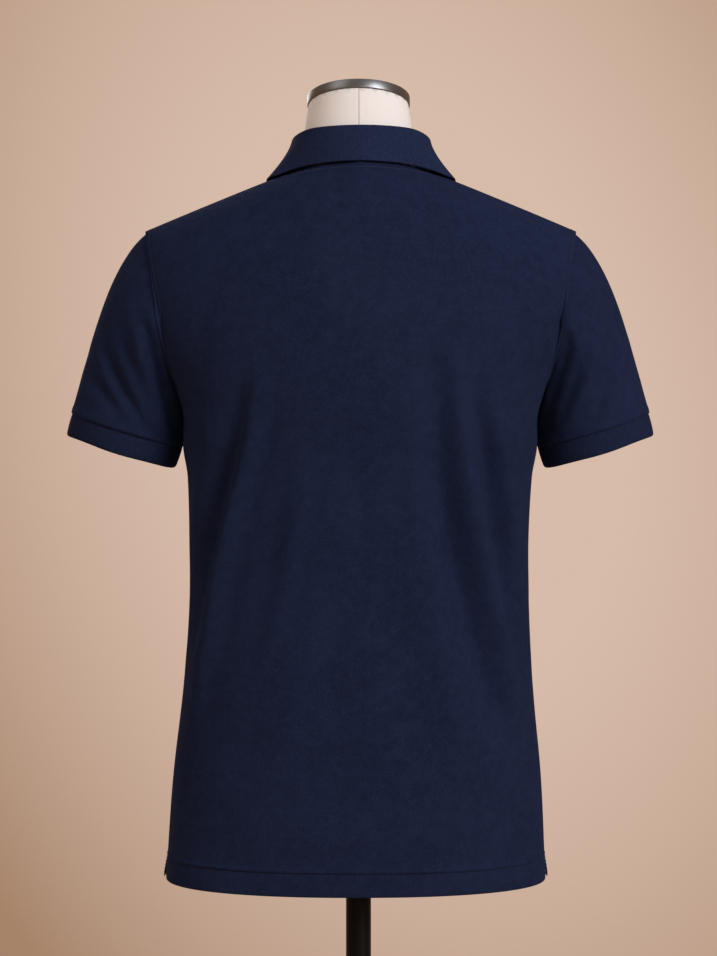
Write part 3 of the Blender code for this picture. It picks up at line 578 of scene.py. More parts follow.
def cuff_grid(turns):
    """The rib cuff, from inside the sleeve's end down; it bellies a little between its ends."""
    rows = []
    for share in np.linspace(0.0, 1.0, 13):
        along = mix(-0.004, CUFF_LENGTH, share)
        belly = 0.0006 * math.sin(math.pi * share)
        rows.append(cuff_ring(along, mix(CUFF_TOP, CUFF_END, share) + belly, turns))
    grid = np.array(rows)
    wave = 0.0005 * np.sin(2 * np.asarray(turns) + 0.6) + 0.0004 * np.sin(5 * np.asarray(turns))
    down, _, _ = cuff_frame()
    return grid + down * (wave[None, :, None] * np.linspace(0, 1, 13)[:, None, None])


def other_side(grid):
    """The mirror image of a grid of points, with its columns turned so that it still faces out."""
    flipped = grid[:, ::-1].copy()
    flipped[..., 0] *= -1
    return flipped


# ---------------------------------------------------------------- collar
def neck_curve(angle, inset):
    """The neckline in plan: angle 0 is the left side, 90 the back, -90 the front."""
    turn = math.radians(angle)
    drop = NECK_BACK if angle >= 0 else NECK_FRONT
    return (NECK_X - inset) * math.cos(turn), SEAM_Y + (drop - inset) * math.sin(turn)


def depth_at(x, height):
    """How far back the shirt's back surface passes through a height, over a place across it."""
    low, high = SEAM_Y, 0.12
    for _ in range(30):
        middle = (low + high) / 2
        if surface_height(x, middle) > CHEST + height:
            low = middle
        else:
            high = middle
    return (low + high) / 2


def collar_grid():
    """The collar: its seam on the neck's edge, stand, fold and leaf, from one front end to the other."""
    rows = []
    for step in range(COLLAR_COLUMNS + 1):
        angle = mix(-90 + COLLAR_GAP, 270 - COLLAR_GAP, step / COLLAR_COLUMNS)
        folded_angle = angle if angle <= 90 else 180 - angle
        side = 1 if angle <= 90 else -1
        front = float(ease(-5.0, 85.0, -folded_angle))
        x, y = neck_curve(folded_angle, STAND_INSET)
        foot = np.array([x, y, surface_height(x, y, STAND_LIFT)])
        drop = 0.0035 * float(ease(-50.0, -5.0, -abs(folded_angle)))
        rise = mix(COLLAR_FOLD - drop + CHEST - foot[2], 0.026, float(ease(0.0, 1.0, front)))
        lean = mix(-0.004, -0.001, front)
        outward = np.array([x, y + 0.008, 0.0])
        outward /= np.linalg.norm(outward)
        up = np.array([0.0, 0.22 * front, 1.0])
        up /= np.linalg.norm(up)
        fold_in = foot + up * (rise - 0.0018) + outward * lean
        fold_out = fold_in + outward * 2 * FOLD_BEND
        turn = math.radians(folded_angle)
        if folded_angle >= 0:
            edge_x = LEAF_X * math.cos(turn)
            behind = depth_at(edge_x, LEAF_EDGE - LEAF_BOW * edge_x ** 4 - LEAF_REST)
            edge_y = mix(SEAM_Y + LEAF_SIDE * math.sin(turn), behind,
                         float(ease(6.0, 40.0, folded_angle)))
        else:
            reach = float(ease(0.0, 85.0, -folded_angle))
            edge_x = mix(LEAF_X * math.cos(turn * 0.62), LEAF_POINT[0], reach ** 1.5)
            edge_y = mix(SEAM_Y, LEAF_POINT[1], math.sin(math.pi / 2 * reach))
        edge = np.array([edge_x, edge_y, surface_height(edge_x, edge_y, LEAF_REST)])
        flat = edge - fold_out
        reach = np.linalg.norm(flat)
        leave = (outward * 0.22 - up * 0.97) * reach * 0.9
        arrive = flat * np.array([1.0, 1.0, 0.75]) * 0.9
        seam_x, seam_y = neck_curve(folded_angle, -0.0015)
        seam = np.array([seam_x, seam_y, surface_height(seam_x, seam_y, STAND_LIFT)])
        seam = mix(seam, foot - up * 0.0006, float(ease(52.0, 70.0, -folded_angle)))
        row = [seam] + [mix(foot, fold_in, share) for share in np.linspace(0, 1, 8)]
        for bend in (22, 45, 68, 90, 112, 135, 158):
            swing = math.radians(bend)
            row.append(fold_in + outward * FOLD_BEND * (1 - math.cos(swing))
                       + up * FOLD_BEND * math.sin(swing))
        shares = np.concatenate([np.linspace(0, 0.965, LEAF_ROWS), [0.985, 1.0]])
        for point in swept(fold_out, edge, leave, arrive, shares):
            point[2] = max(point[2], surface_height(point[0], point[1], LEAF_REST))
            row.append(point)
        row = np.array(row)
        row[:, 0] *= side
        rows.append(row)
    return np.array(rows).transpose(1, 0, 2)


# ---------------------------------------------------------------- placket
def placket_lines(front, foot, top):
    """The front's own points beside and along its centre, from below the slit's end to the neck.

    The last three rows lead on from the neck's edge to a height over the foot of the collar's stand.
    """
    first = int(np.argmax(front[:, front.shape[1] // 2, 2] > CHEST + SLIT_BOTTOM - 1e-6))
    centre = front.shape[1] // 2
    rows = front[:, centre - CENTRE_COLUMNS - 1:centre + CENTRE_COLUMNS + 2][:, ::-1]
    below = max(first - int(round(foot / ROW_STEP)), 0)
    lines = list(rows[below:-1])
    lines.append(mix(rows[-2], rows[-1], 0.93))
    _, stand_y = neck_curve(-85.0, STAND_INSET)
    stand_z = surface_height(0.0, stand_y, STAND_LIFT) + top
    rim = lines[-1]
    for share in (0.35, 0.70, 1.0):
        row = mix(rim, stand_z, share)
        row[:, :2] = rim[:, :2]
        row[:, 1] += (stand_y - rim[len(rim) // 2, 1]) * share
        lines.append(row)
    return np.array(lines)


def strip_across(lines, low, high, count):
    """Points across the placket between two distances from its middle, wearer's left positive."""
    result = []
    for row in lines:
        xs = row[:, 0]
        order = np.argsort(xs)
        wanted = np.linspace(low, high, count)
        result.append(np.stack([np.interp(wanted, xs[order], row[order, axis]) for axis in range(3)],
                               axis=1))
    return np.array(result)


# ---------------------------------------------------------------- meshes from points
def new_object(name, points, faces, uvs=None):
    """An object from points and quads or triangles; uvs is one (u, v) for each face corner."""
    mesh = bpy.data.meshes.new(name)
    mesh.from_pydata([tuple(point) for point in points], [], faces)
    if uvs is not None:
        layer = mesh.uv_layers.new(name="UVMap")
        layer.data.foreach_set("uv", np.asarray(uvs, dtype=np.float32).ravel())
    mesh.validate()
    mesh.shade_smooth()
    obj = bpy.data.objects.new(name, mesh)
    bpy.context.scene.collection.objects.link(obj)
    return obj


def cloth(name, grid, thickness, closed=False, cut=None):
    """A thin closed wall on a grid of points, with UVs in metres; cut marks the cells left out."""
    rows, columns = grid.shape[:2]
    normals = grid_normals(grid, closed)
    wide = columns if closed else columns - 1
    solid = np.ones((rows - 1, wide), dtype=bool)
    if cut is not None:
        solid &= ~cut
    around = np.concatenate([grid, grid[:, :1]], axis=1) if closed else grid
    across = np.concatenate([np.zeros((rows, 1)),
                             np.cumsum(np.linalg.norm(np.diff(around, axis=1), axis=2), axis=1)], axis=1)
    middle = columns // 2
    across = across - across[:, middle:middle + 1]
    up = np.concatenate([[0.0], np.cumsum(np.linalg.norm(np.diff(grid[:, middle], axis=0), axis=1))])

    # the wall thins to a rounded lip along each free edge
    lip = np.ones((rows, columns))
    lip[0] = lip[-1] = 0.45
    if not closed:
        lip[:, 0] = lip[:, -1] = 0.45
    half = (thickness / 2 * lip)[..., None]
    points = np.concatenate([(grid + half * normals).reshape(-1, 3), (grid - half * normals).reshape(-1, 3)])
    inner = rows * columns
    faces, uvs = [], []

    def corner(r, c):
        return (across[r, c], up[r])

    def is_solid(r, c):
        return 0 <= r < rows - 1 and (closed or 0 <= c < wide) and solid[r, c % wide]

    for r in range(rows - 1):
        for c in range(wide):
            if not solid[r, c]:
                continue
            n = (c + 1) % columns
            a, b = r * columns + c, r * columns + n
            d, e = a + columns, b + columns
            faces += [(a, b, e, d), (inner + a, inner + d, inner + e, inner + b)]
            low, right = corner(r, c), corner(r, c + 1)
            far, high = corner(r + 1, c + 1), corner(r + 1, c)
            uvs += [low, right, far, high, low, high, far, right]
            for open_side, pair, ends in ((not is_solid(r - 1, c), (a, b), (low, right)),
                                          (not is_solid(r + 1, c), (e, d), (far, high)),
                                          (not is_solid(r, c - 1), (d, a), (high, low)),
                                          (not is_solid(r, c + 1), (b, e), (right, far))):
                if open_side:
                    faces.append((pair[0], inner + pair[0], inner + pair[1], pair[1]))
                    uvs += [ends[0], ends[0], ends[1], ends[1]]
    used = np.zeros(len(points), dtype=int)
    for face in faces:
        for vertex in face:
            used[vertex] = 1
    renumbered = np.cumsum(used) - 1
    faces = [tuple(int(renumbered[v]) for v in face) for face in faces]
    obj = new_object(name, as_worn(points[used.astype(bool)]), faces, uvs)
    face_outwards(obj)
    return obj


def face_outwards(obj):
    """Point a closed piece's faces outwards and shade it smooth."""
    data = bmesh.new()
    data.from_mesh(obj.data)
    bmesh.ops.recalc_face_normals(data, faces=data.faces)
    data.to_mesh(obj.data)
    data.free()
    obj.data.shade_smooth()


def stitches(name, lines, length=0.0026, gap=0.0009, radius=0.00026, lift=0.0003):
    """Short rounded stitches end to end along lines of (point, normal) pairs, as one mesh."""
    points, faces = [], []
    sides = 5
    for line, normals in lines:
        total = lengths_along(line)[-1]
        count = max(int(total / (length + gap)), 1)
        starts = (np.arange(count) * (length + gap) + gap / 2) / total
        heads = points_at(line, starts)
        tails = points_at(line, np.minimum(starts + length / total, 1.0))
        lifts = points_at(normals, np.interp(starts, lengths_along(line) / total,
                                             lengths_along(normals) / max(lengths_along(normals)[-1], 1e-9)))
        for head, tail, normal in zip(heads, tails, lifts):
            along = tail - head
            span = np.linalg.norm(along)
            if span < 1e-5:
                continue
            along /= span
            side = np.cross(along, normal)
            side /= max(np.linalg.norm(side), 1e-9)
            rise = np.cross(side, along)
            base = len(points)
            for share, size, high in ((0.0, 0.45, -0.4), (0.22, 1.0, 0.5), (0.78, 1.0, 0.5),
                                      (1.0, 0.45, -0.4)):
                middle = head + along * span * share + rise * (lift + radius * (high - 0.5))
                for k in range(sides):
                    swing = 2 * math.pi * k / sides
                    points.append(middle + radius * size * (math.cos(swing) * side + math.sin(swing) * rise))
            for ring in range(3):
                for k in range(sides):
                    n = (k + 1) % sides
                    a = base + ring * sides
                    faces.append((a + k, a + n, a + sides + n, a + sides + k))
            faces.append(tuple(base + k for k in reversed(range(sides))))
            faces.append(tuple(base + 3 * sides + k for k in range(sides)))
    obj = new_object(name, points, faces)
    face_outwards(obj)
    return obj


def select_only(*objects):
    """Select some objects and nothing else; the first is the active one."""
    bpy.ops.object.select_all(action="DESELECT")
    for obj in objects:
        obj.select_set(True)
    bpy.context.view_layer.objects.active = objects[0]


def joined(name, parts):
    """One mesh object from several."""
    select_only(*parts)
    bpy.ops.object.join()
    result = bpy.context.view_layer.objects.active
    result.name = result.data.name = name
    return result


def hand_in(obj, material, nodes=()):
    """Give a finished piece its material and its place on the model."""
    obj.data.materials.clear()
    obj.data.materials.append(material)
    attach(obj, "root")
    if nodes:
        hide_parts(*nodes)
    return obj


# ---------------------------------------------------------------- shader helpers
class Socket:
    """A node socket that takes part in arithmetic; each operation adds a Math node."""

    def __init__(self, tree, output):
        self.tree = tree
        self.output = output

    def maths(self, operation, *values):
        node = self.tree.nodes.new("ShaderNodeMath")
        node.operation = operation
        for index, value in enumerate((self, *values)):
            connect(self.tree, value, node.inputs[index])
        return Socket(self.tree, node.outputs[0])

    def __add__(self, other):
        return self.maths("ADD", other)

    def __radd__(self, other):
        return self.maths("ADD", other)

    def __sub__(self, other):
        return self.maths("SUBTRACT", other)

    def __rsub__(self, other):
        return self.maths("MULTIPLY", -1.0).maths("ADD", other)

    def __mul__(self, other):
        return self.maths("MULTIPLY", other)

    def __rmul__(self, other):
        return self.maths("MULTIPLY", other)

    def __pow__(self, other):
        return self.maths("POWER", other)

    def __neg__(self):
        return self.maths("MULTIPLY", -1.0)

    def sine(self):
        return self.maths("SINE")

    def absolute(self):
        return self.maths("ABSOLUTE")

    def least(self, other):
        return self.maths("MINIMUM", other)

    def most(self, other):
        return self.maths("MAXIMUM", other)

    def stepped(self, low, high):
        """0 below low, 1 above high and smooth between."""
        node = self.tree.nodes.new("ShaderNodeMapRange")
        node.interpolation_type = "SMOOTHSTEP"
        connect(self.tree, self, node.inputs["Value"])
        node.inputs["From Min"].default_value = low
        node.inputs["From Max"].default_value = high
        return Socket(self.tree, node.outputs["Result"])


def connect(tree, value, target):
    """Link a socket to an input, or set the input's own value."""
    if isinstance(value, Socket):
        tree.links.new(value.output, target)
    elif hasattr(value, "__len__") and len(value) == 3 and target.type == "RGBA":
        target.default_value = (*value, 1.0)
    else:
        target.default_value = value


class Shader:
    """A material or world tree with one method that adds any node."""

    def __init__(self, owner):
        owner.use_nodes = True
        self.tree = owner.node_tree
        self.tree.nodes.clear()

    def node(self, kind, settings=None, output=0, **inputs):
        made = self.tree.nodes.new(kind)
        for key, value in (settings or {}).items():
            setattr(made, key, value)
        for key, value in inputs.items():
            name = key.replace("_", " ")
            target = next(s for s in made.inputs if s.enabled and s.name == name)
            connect(self.tree, value, target)
        return Socket(self.tree, made.outputs[output])

    def blend(self, share, low, high):
        return self.node("ShaderNodeMix", {"data_type": "RGBA"}, output=2, Factor=share, A=low, B=high)

    def noise(self, place, scale, detail=2.0, roughness=0.5):
        return self.node("ShaderNodeTexNoise", Vector=place, Scale=scale, Detail=detail,
                         Roughness=roughness)

    def place(self):
        """Where a point of the piece is, in metres."""
        return self.node("ShaderNodeTexCoord", output=3)

    def flat_axes(self):
        """Metres along and across the cloth, from its UVs."""
        return self.axes(self.node("ShaderNodeUVMap", {"uv_map": "UVMap"}))[:2]

    def axes(self, place):
        parts = self.tree.nodes.new("ShaderNodeSeparateXYZ")
        connect(self.tree, place, parts.inputs[0])
        return [Socket(self.tree, output) for output in parts.outputs]

    def bump(self, height, strength, distance, normal=None):
        values = {"Height": height, "Strength": strength, "Distance": distance}
        if normal is not None:
            values["Normal"] = normal
        return self.node("ShaderNodeBump", **values)

    def surface(self, **inputs):
        made = self.tree.nodes.new("ShaderNodeBsdfPrincipled")
        for key, value in inputs.items():
            connect(self.tree, value, made.inputs[key.replace("_", " ")])
        end = self.tree.nodes.new("ShaderNodeOutputMaterial")
        self.tree.links.new(made.outputs[0], end.inputs["Surface"])


def new_material(name):
    material = bpy.data.materials.new(name)
    return material, Shader(material)


def toned(colour, factor, more=0.0):
    """A lighter or darker tone of a colour."""
    return tuple(min(part * factor + more, 1.0) for part in colour)


# ---------------------------------------------------------------- materials
def pique_material(colour):
    """Navy pique: rows of small raised cells with painted shade in their pits, heather flecks and slight
    wear.
    """
    material, shader = new_material("Navy Pique")
    across, up = shader.flat_axes()
    place = shader.place()
    pitch = 2 * math.pi / 0.00145
    wale = (across * pitch).sine()
    course = (up * pitch).sine()
    shifted = (up * pitch + math.pi).sine()
    lean = wale.stepped(-0.3, 0.3)
    cells = (wale.absolute() * 0.6 + (course * lean + shifted * (1.0 - lean)) * 0.4)
    grain = shader.noise(place, 1500.0, 2.0)
    cloud = shader.noise(place, 14.0, 3.0)
    fleck = shader.noise(place, 1400.0, 1.0).stepped(0.48, 0.72)
    mottle = shader.noise(place, 92.0, 6.0, 0.78)
    # painted shade: the pits between the raised cells are drawn in this dimmed tone
    hollow_shade = toned(colour, 0.62)
    lighter = toned(colour, 2.2, 0.002)
    base = shader.blend(cells.stepped(-0.45, 0.75), hollow_shade, colour)
    base = shader.blend(fleck * 0.42, base, lighter)
    base = shader.blend(mottle.stepped(0.36, 0.66) * 0.50, base, toned(colour, 0.55))
    base = shader.blend(cloud.stepped(0.35, 0.75) * 0.20, base, toned(colour, 1.5))
    normal = shader.bump(cells + grain * 0.9, 0.62, 0.00042)
    shader.surface(Base_Color=base, Roughness=(0.80 + grain * 0.14), Normal=normal,
                   Specular_IOR_Level=0.01, Sheen_Weight=0.05, Sheen_Roughness=0.22,
                   Sheen_Tint=(0.40, 0.50, 1.0, 1.0))
    return material


def rib_material(colour, name="Navy Rib"):
    """Navy rib knit: ribs across the length of a collar or round a cuff's girth, with painted shade in the
    grooves between them.
    """
    material, shader = new_material(name)
    across, up = shader.flat_axes()
    place = shader.place()
    ribs = (across * (2 * math.pi / 0.0020)).sine()
    loops = (up * (2 * math.pi / 0.0011)).sine()
    grain = shader.noise(place, 1700.0, 2.0)
    fleck = shader.noise(place, 2400.0, 1.0).stepped(0.52, 0.74)
    height = ribs + loops * 0.22 + grain * 0.5
    cloud = shader.noise(place, 330.0, 3.0)
    # painted shade: the grooves between the ribs are drawn in this dimmed tone
    hollow_shade = toned(colour, 0.74)
    lighter = toned(colour, 1.9)
    base = shader.blend(ribs.stepped(-0.8, 0.5), hollow_shade, colour)
    base = shader.blend(fleck * 0.40, base, lighter)
    base = shader.blend(cloud.stepped(0.35, 0.7) * 0.35, base, toned(colour, 1.6))
    shader.surface(Base_Color=base, Roughness=(0.82 + grain * 0.12),
                   Normal=shader.bump(height, 0.3, 0.00030), Specular_IOR_Level=0.03)
    return material


def shaded_cuff_material(colour):
    """The cuffs' rib: the collar's rib darkened, as painted shade for the cuffs under the sleeves."""
    return rib_material(toned(colour, 0.76), "Navy Cuff Rib In Painted Shade")


def thread_material(colour):
    """Navy sewing thread."""
    material, shader = new_material("Navy Thread")
    grain = shader.noise(shader.place(), 2200.0, 1.0)
    shader.surface(Base_Color=shader.blend(grain, toned(colour, 0.9), colour),
                   Roughness=(0.55 + grain * 0.2), Specular_IOR_Level=0.12)
    return material


def canvas_material(colour):
    """Cream canvas drawn tight over the form, with a seam down the middle of its back and front."""
    material, shader = new_material("Cream Canvas")
    place = shader.place()
    x, _, z = shader.axes(place)
    weave = (x * (2 * math.pi / 0.0009)).sine() * (z * (2 * math.pi / 0.0009)).sine()
    grain = shader.noise(place, 900.0, 3.0)
    cloud = shader.noise(place, 9.0, 3.0)
    seam = 1.0 - x.absolute().stepped(0.00035, 0.0010)
    beside = 1.0 - (x.absolute() - 0.0024).absolute().stepped(0.0004, 0.0024)
    base = shader.blend(cloud.stepped(0.3, 0.8) * 0.3, colour, toned(colour, 0.93))
    base = shader.blend(seam * 0.55, base, toned(colour, 0.55))
    height = weave * 0.25 + grain * 0.4 - seam * 2.6 + beside * 0.6
    shader.surface(Base_Color=base, Roughness=(0.86 + grain * 0.1), Specular_IOR_Level=0.25,
                   Normal=shader.bump(height, 0.5, 0.0005))
    return material


def steel_material(colour):
    """Steel brushed round the neck."""
    material, shader = new_material("Brushed Steel")
    place = shader.place()
    _, _, z = shader.axes(place)
    drawn = shader.node("ShaderNodeMapping", {"vector_type": "POINT"}, Vector=place,
                        Scale=(14.0, 14.0, 900.0))
    streak = shader.noise(drawn, 3.0, 4.0, 0.6)
    smudge = shader.noise(place, 30.0, 3.0)
    base = shader.blend(streak.stepped(0.3, 0.7), toned(colour, 0.82), colour)
    shader.surface(Base_Color=base, Metallic=1.0, Roughness=(0.24 + streak * 0.16 + smudge * 0.08),
                   Normal=shader.bump(streak, 0.12, 0.0003))
    return material


def stand_material(colour):
    """Black satin paint with a little dust."""
    material, shader = new_material("Black Satin")
    place = shader.place()
    orange_peel = shader.noise(place, 380.0, 2.0)
    dust = shader.noise(place, 60.0, 4.0)
    base = shader.blend(dust.stepped(0.55, 0.8) * 0.25, colour, toned(colour, 2.4, 0.004))
    shader.surface(Base_Color=base, Roughness=(0.36 + dust * 0.12), Specular_IOR_Level=0.12,
                   Normal=shader.bump(orange_peel, 0.05, 0.0004))
    return material


def button_material(colour):
    """Navy resin with a faint swirl."""
    material, shader = new_material("Navy Resin")
    place = shader.place()
    swirl = shader.noise(place, 260.0, 3.0)
    base = shader.blend(swirl.stepped(0.35, 0.75) * 0.6, colour, toned(colour, 2.2, 0.003))
    shader.surface(Base_Color=base, Roughness=(0.24 + swirl * 0.08), Coat_Weight=0.3, Coat_Roughness=0.2)
    return material


def floor_material(colour):
    """A pale floor that fades out with distance."""
    material, shader = new_material("Studio Floor")
    place = shader.place()
    x, y, _ = shader.axes(place)
    away = (x * x + y * y) ** 0.5
    grain = shader.noise(place, 40.0, 3.0)
    shader.surface(Base_Color=shader.blend(grain * 0.3, colour, toned(colour, 0.94)),
                   Roughness=0.75, Alpha=1.0 - away.stepped(0.85, 2.35), Specular_IOR_Level=0.25)
    return material


# ---------------------------------------------------------------- cached shapes
SHAPES = {}


def shape(name):
    """The grids that several pieces share, made once."""
    if not SHAPES:
        SHAPES["back"] = worn_panel(True)
        SHAPES["front"] = worn_panel(False)
        SHAPES["armhole"] = armhole_ring(SHAPES["back"], SHAPES["front"])
    return SHAPES[name]


def along_edge(grid, inset, rows, side):
    """A line on a panel at an inset from its left or right edge, with its outward normals."""
    normals = outward_normals(grid, side)
    ordered = grid if inset > 0 else grid[:, ::-1]
    turned_normals = normals if inset > 0 else normals[:, ::-1]
    line, out = [], []
    for row in rows:
        lengths = lengths_along(ordered[row])
        share = abs(inset) / lengths[-1]
        line.append(points_at(ordered[row], [share])[0])
        index = min(int(np.searchsorted(lengths, abs(inset))), len(lengths) - 1)
        out.append(turned_normals[row, index])
    line, out = np.array(line), np.array(out)
    return line + out * THREAD_LIFT, out


def along_row(grid, height, side, columns):
    """A line on a panel at a height above the hem's edge."""
    normals = outward_normals(grid, side)
    row = int(np.argmin(abs(grid[:, grid.shape[1] // 2, 2] - (HEM + height))))
    return grid[row, columns] + normals[row, columns] * THREAD_LIFT, normals[row, columns]


def panel_stitches(back):
    """Rows of stitches on a panel: one over the hem, two by each armhole, one by each vent."""
    side = 1 if back else -1
    grid = shape("back" if back else "front")
    lines = []
    middle = slice(2, grid.shape[1] - 2)
    lines.append(along_row(grid, HEM_STITCH, side, middle))
    heights = grid[:, 0, 2] - CHEST
    first = int(np.argmax(heights > UNDERARM))
    arm = range(first, grid.shape[0] - 1)
    for inset in ARMHOLE_STITCHES:
        lines.append(along_edge(grid, inset, arm, side))
        lines.append(along_edge(grid, -inset, arm, side))
    vent = range(2, int(np.argmax(heights > VENT_TOP)))
    for inset in (0.0055, -0.0055):
        lines.append(along_edge(grid, inset, vent, side))
    return lines


def seam_stitches():
    """The row beside each shoulder seam and the row that holds the facing under the back neck."""
    lines = []
    for side in (1, -1):
        seam = []
        for share in np.linspace(0.02, 0.98, 60):
            x = side * mix(TIP_X, NECK_X, share)
            y = SEAM_Y + 0.0030
            seam.append((x, y, surface_height(x, y, 0.0010)))
        seam = np.array(seam)
        lines.append((seam, np.tile([0.0, 0.1, 1.0], (len(seam), 1))))
    facing = []
    for x in np.linspace(-0.066, 0.066, 90):
        y = depth_at(x, LEAF_EDGE - FACING_GAP - LEAF_BOW * x ** 4)
        facing.append((x, y, surface_height(x, y, 0.0016)))
    facing = np.array(facing)
    lines.append((facing, np.tile([0.0, 0.5, 0.86], (len(facing), 1))))
    return lines


# ---------------------------------------------------------------- modelling in edit mode
def start_edit():
    """Go into edit mode with nothing selected."""
    bpy.ops.object.mode_set(mode="EDIT")
    bpy.ops.mesh.select_all(action="DESELECT")


def end_edit():
    bpy.ops.object.mode_set(mode="OBJECT")


def bevel_sharp(offset):
    """Round the sharp edges of the piece in edit mode."""
    bpy.ops.mesh.select_all(action="DESELECT")
    bpy.context.tool_settings.mesh_select_mode = (False, True, False)
    bpy.ops.mesh.edges_select_sharp(sharpness=math.radians(50))
    bpy.ops.mesh.bevel(offset=offset, segments=3, affect="EDGES")
    bpy.context.tool_settings.mesh_select_mode = (True, False, False)


def put_down(name):
    """Name the active piece, apply its place and turn, and shade it."""
    obj = bpy.context.view_layer.objects.active
    obj.name = obj.data.name = name
    bpy.ops.object.transform_apply(location=True, rotation=True, scale=True)
    bpy.ops.object.shade_smooth_by_angle(angle=math.radians(35))
    return obj


def cylinder(name, radius, low, high, bevel, sides=96):
    """An upright cylinder with bevelled ends."""
    bpy.ops.object.select_all(action="DESELECT")
    bpy.ops.mesh.primitive_cylinder_add(vertices=sides, radius=radius, depth=high - low,
                                        location=(0, 0, (low + high) / 2))
    start_edit()
    bevel_sharp(bevel)
    end_edit()
    return put_down(name)


def tube(name, radius, wall, low, high, bevel, sides=96):
    """An upright tube: an open cylinder thickened inwards, with bevelled ends."""
    bpy.ops.object.select_all(action="DESELECT")
    bpy.ops.mesh.primitive_cylinder_add(vertices=sides, radius=radius, depth=high - low,
                                        end_fill_type="NOTHING", location=(0, 0, (low + high) / 2))
    start_edit()
    bpy.ops.mesh.select_all(action="SELECT")
    bpy.ops.mesh.solidify(thickness=wall)
    bevel_sharp(bevel)
    bpy.ops.mesh.select_all(action="SELECT")
    bpy.ops.mesh.normals_make_consistent(inside=False)
    end_edit()
    return put_down(name)


def lean_to_neck(obj):
    """Move a piece made at the origin to the neck's tilted top."""
    obj.data.transform(Matrix.Translation((0, NECK_TOP_Y, CHEST + NECK_TOP_HEIGHT))
                       @ Matrix.Rotation(math.radians(NECK_TILT), 4, "X"))
    return obj


def four_hole_button(name, material, thread, where, up, out):
    """A dished resin button with a rim, four holes and its thread."""
    bpy.ops.object.select_all(action="DESELECT")
    bpy.ops.mesh.primitive_cylinder_add(vertices=48, radius=BUTTON_RADIUS, depth=BUTTON_THICK)
    start_edit()
    bevel_sharp(0.0006)
    end_edit()
    body = bpy.context.view_layer.objects.active
    data = bmesh.new()
    data.from_mesh(body.data)
    top = max(data.faces, key=lambda face: face.calc_center_median().z)
    for face in data.faces:
        face.select = face is top
    data.to_mesh(body.data)
    data.free()
    bpy.context.tool_settings.mesh_select_mode = (False, False, True)
    bpy.ops.object.mode_set(mode="EDIT")
    bpy.ops.mesh.inset(thickness=0.0010, depth=0.0)
    bpy.ops.mesh.inset(thickness=0.0007, depth=-0.0007)
    end_edit()
    bpy.context.tool_settings.mesh_select_mode = (True, False, False)
    for x in (-BUTTON_HOLE, BUTTON_HOLE):
        for y in (-BUTTON_HOLE, BUTTON_HOLE):
            bpy.ops.object.select_all(action="DESELECT")
            bpy.ops.mesh.primitive_cylinder_add(vertices=16, radius=0.00062, depth=0.008,
                                                location=(x, y, 0))
            drill = bpy.context.view_layer.objects.active
            hole = body.modifiers.new("Hole", "BOOLEAN")
            hole.object = drill
            hole.solver = "EXACT"
            bpy.context.view_layer.objects.active = body
            bpy.ops.object.modifier_apply(modifier=hole.name)
            bpy.data.objects.remove(drill, do_unlink=True)
    select_only(body)
    body = put_down(name)
    body.data.materials.append(material)
    lines = []
    for x in (-BUTTON_HOLE, BUTTON_HOLE):
        for shift in (-0.00022, 0.00022):
            line = np.array([(x + shift, -0.0014, 0.00095), (x + shift, 0.0014, 0.00095)])
            lines.append((line, np.tile([0.0, 0.0, 1.0], (2, 1))))
    sewn = stitches(name + "_thread", lines, length=0.0027, gap=0.00005, radius=0.00028, lift=0.0)
    sewn.data.materials.append(thread)
    whole = joined(name, [body, sewn])
    across = Vector(up).cross(Vector(out)).normalized()
    turn = Matrix((across, Vector(up), Vector(out))).transposed().to_4x4()
    whole.data.transform(Matrix.Translation(Vector(where)) @ turn)
    return whole


# ---------------------------------------------------------------- settings and operators
class POLO_PG_settings(bpy.types.PropertyGroup):
    """What can be changed about the shirt and its studio."""

    cloth_colour: FloatVectorProperty(
        name="Cloth Colour", description="Linear colour of the knit", subtype="COLOR",
        default=(0.0138, 0.0212, 0.0566), min=0.0, max=1.0)
    form_colour: FloatVectorProperty(
        name="Form Colour", description="Linear colour of the dress form's canvas", subtype="COLOR",
        default=(0.86, 0.85, 0.84), min=0.0, max=1.0)
    steel_colour: FloatVectorProperty(
        name="Steel Colour", description="Linear colour of the neck band", subtype="COLOR",
        default=(0.20, 0.21, 0.22), min=0.0, max=1.0)
    studio_colour: FloatVectorProperty(
        name="Studio Colour", description="Linear colour of the studio's surroundings",
        subtype="COLOR", default=(0.680, 0.500, 0.400), min=0.0, max=1.0)
    key_power: FloatProperty(
        name="Key Power", description="Power of the key light", default=66.0, min=0.0,
        max=500.0, unit="POWER")
    stitch_length: FloatProperty(
        name="Stitch Length", description="Length of one stitch", default=0.0027, min=0.001,
        max=0.006, unit="LENGTH")


def settings():
    return bpy.context.scene.polo_shirt


def made_once(name, maker, colour):
    """The material of a name, made where there is none yet."""
    return bpy.data.materials.get(name) or maker(tuple(colour))


def fabric(kind):
    """One of the shirt's materials."""
    colour = settings().cloth_colour
    if kind == "thread":
        colour = toned(colour, 1.7, 0.004)
    name, maker = {"pique": ("Navy Pique", pique_material), "rib": ("Navy Rib", rib_material),
                   "cuff": ("Navy Cuff Rib In Painted Shade", shaded_cuff_material), "thread": ("Navy Thread", thread_material),
                   "button": ("Navy Resin", button_material)}[kind]
    return made_once(name, maker, colour)


def sewn_rows(name, rows):
    """A piece's rows of stitches, where the worn cloth is."""
    worn = [(as_worn(line), normals) for line, normals in rows]
    return hand_in(stitches(name, worn, length=settings().stitch_length), fabric("thread"))


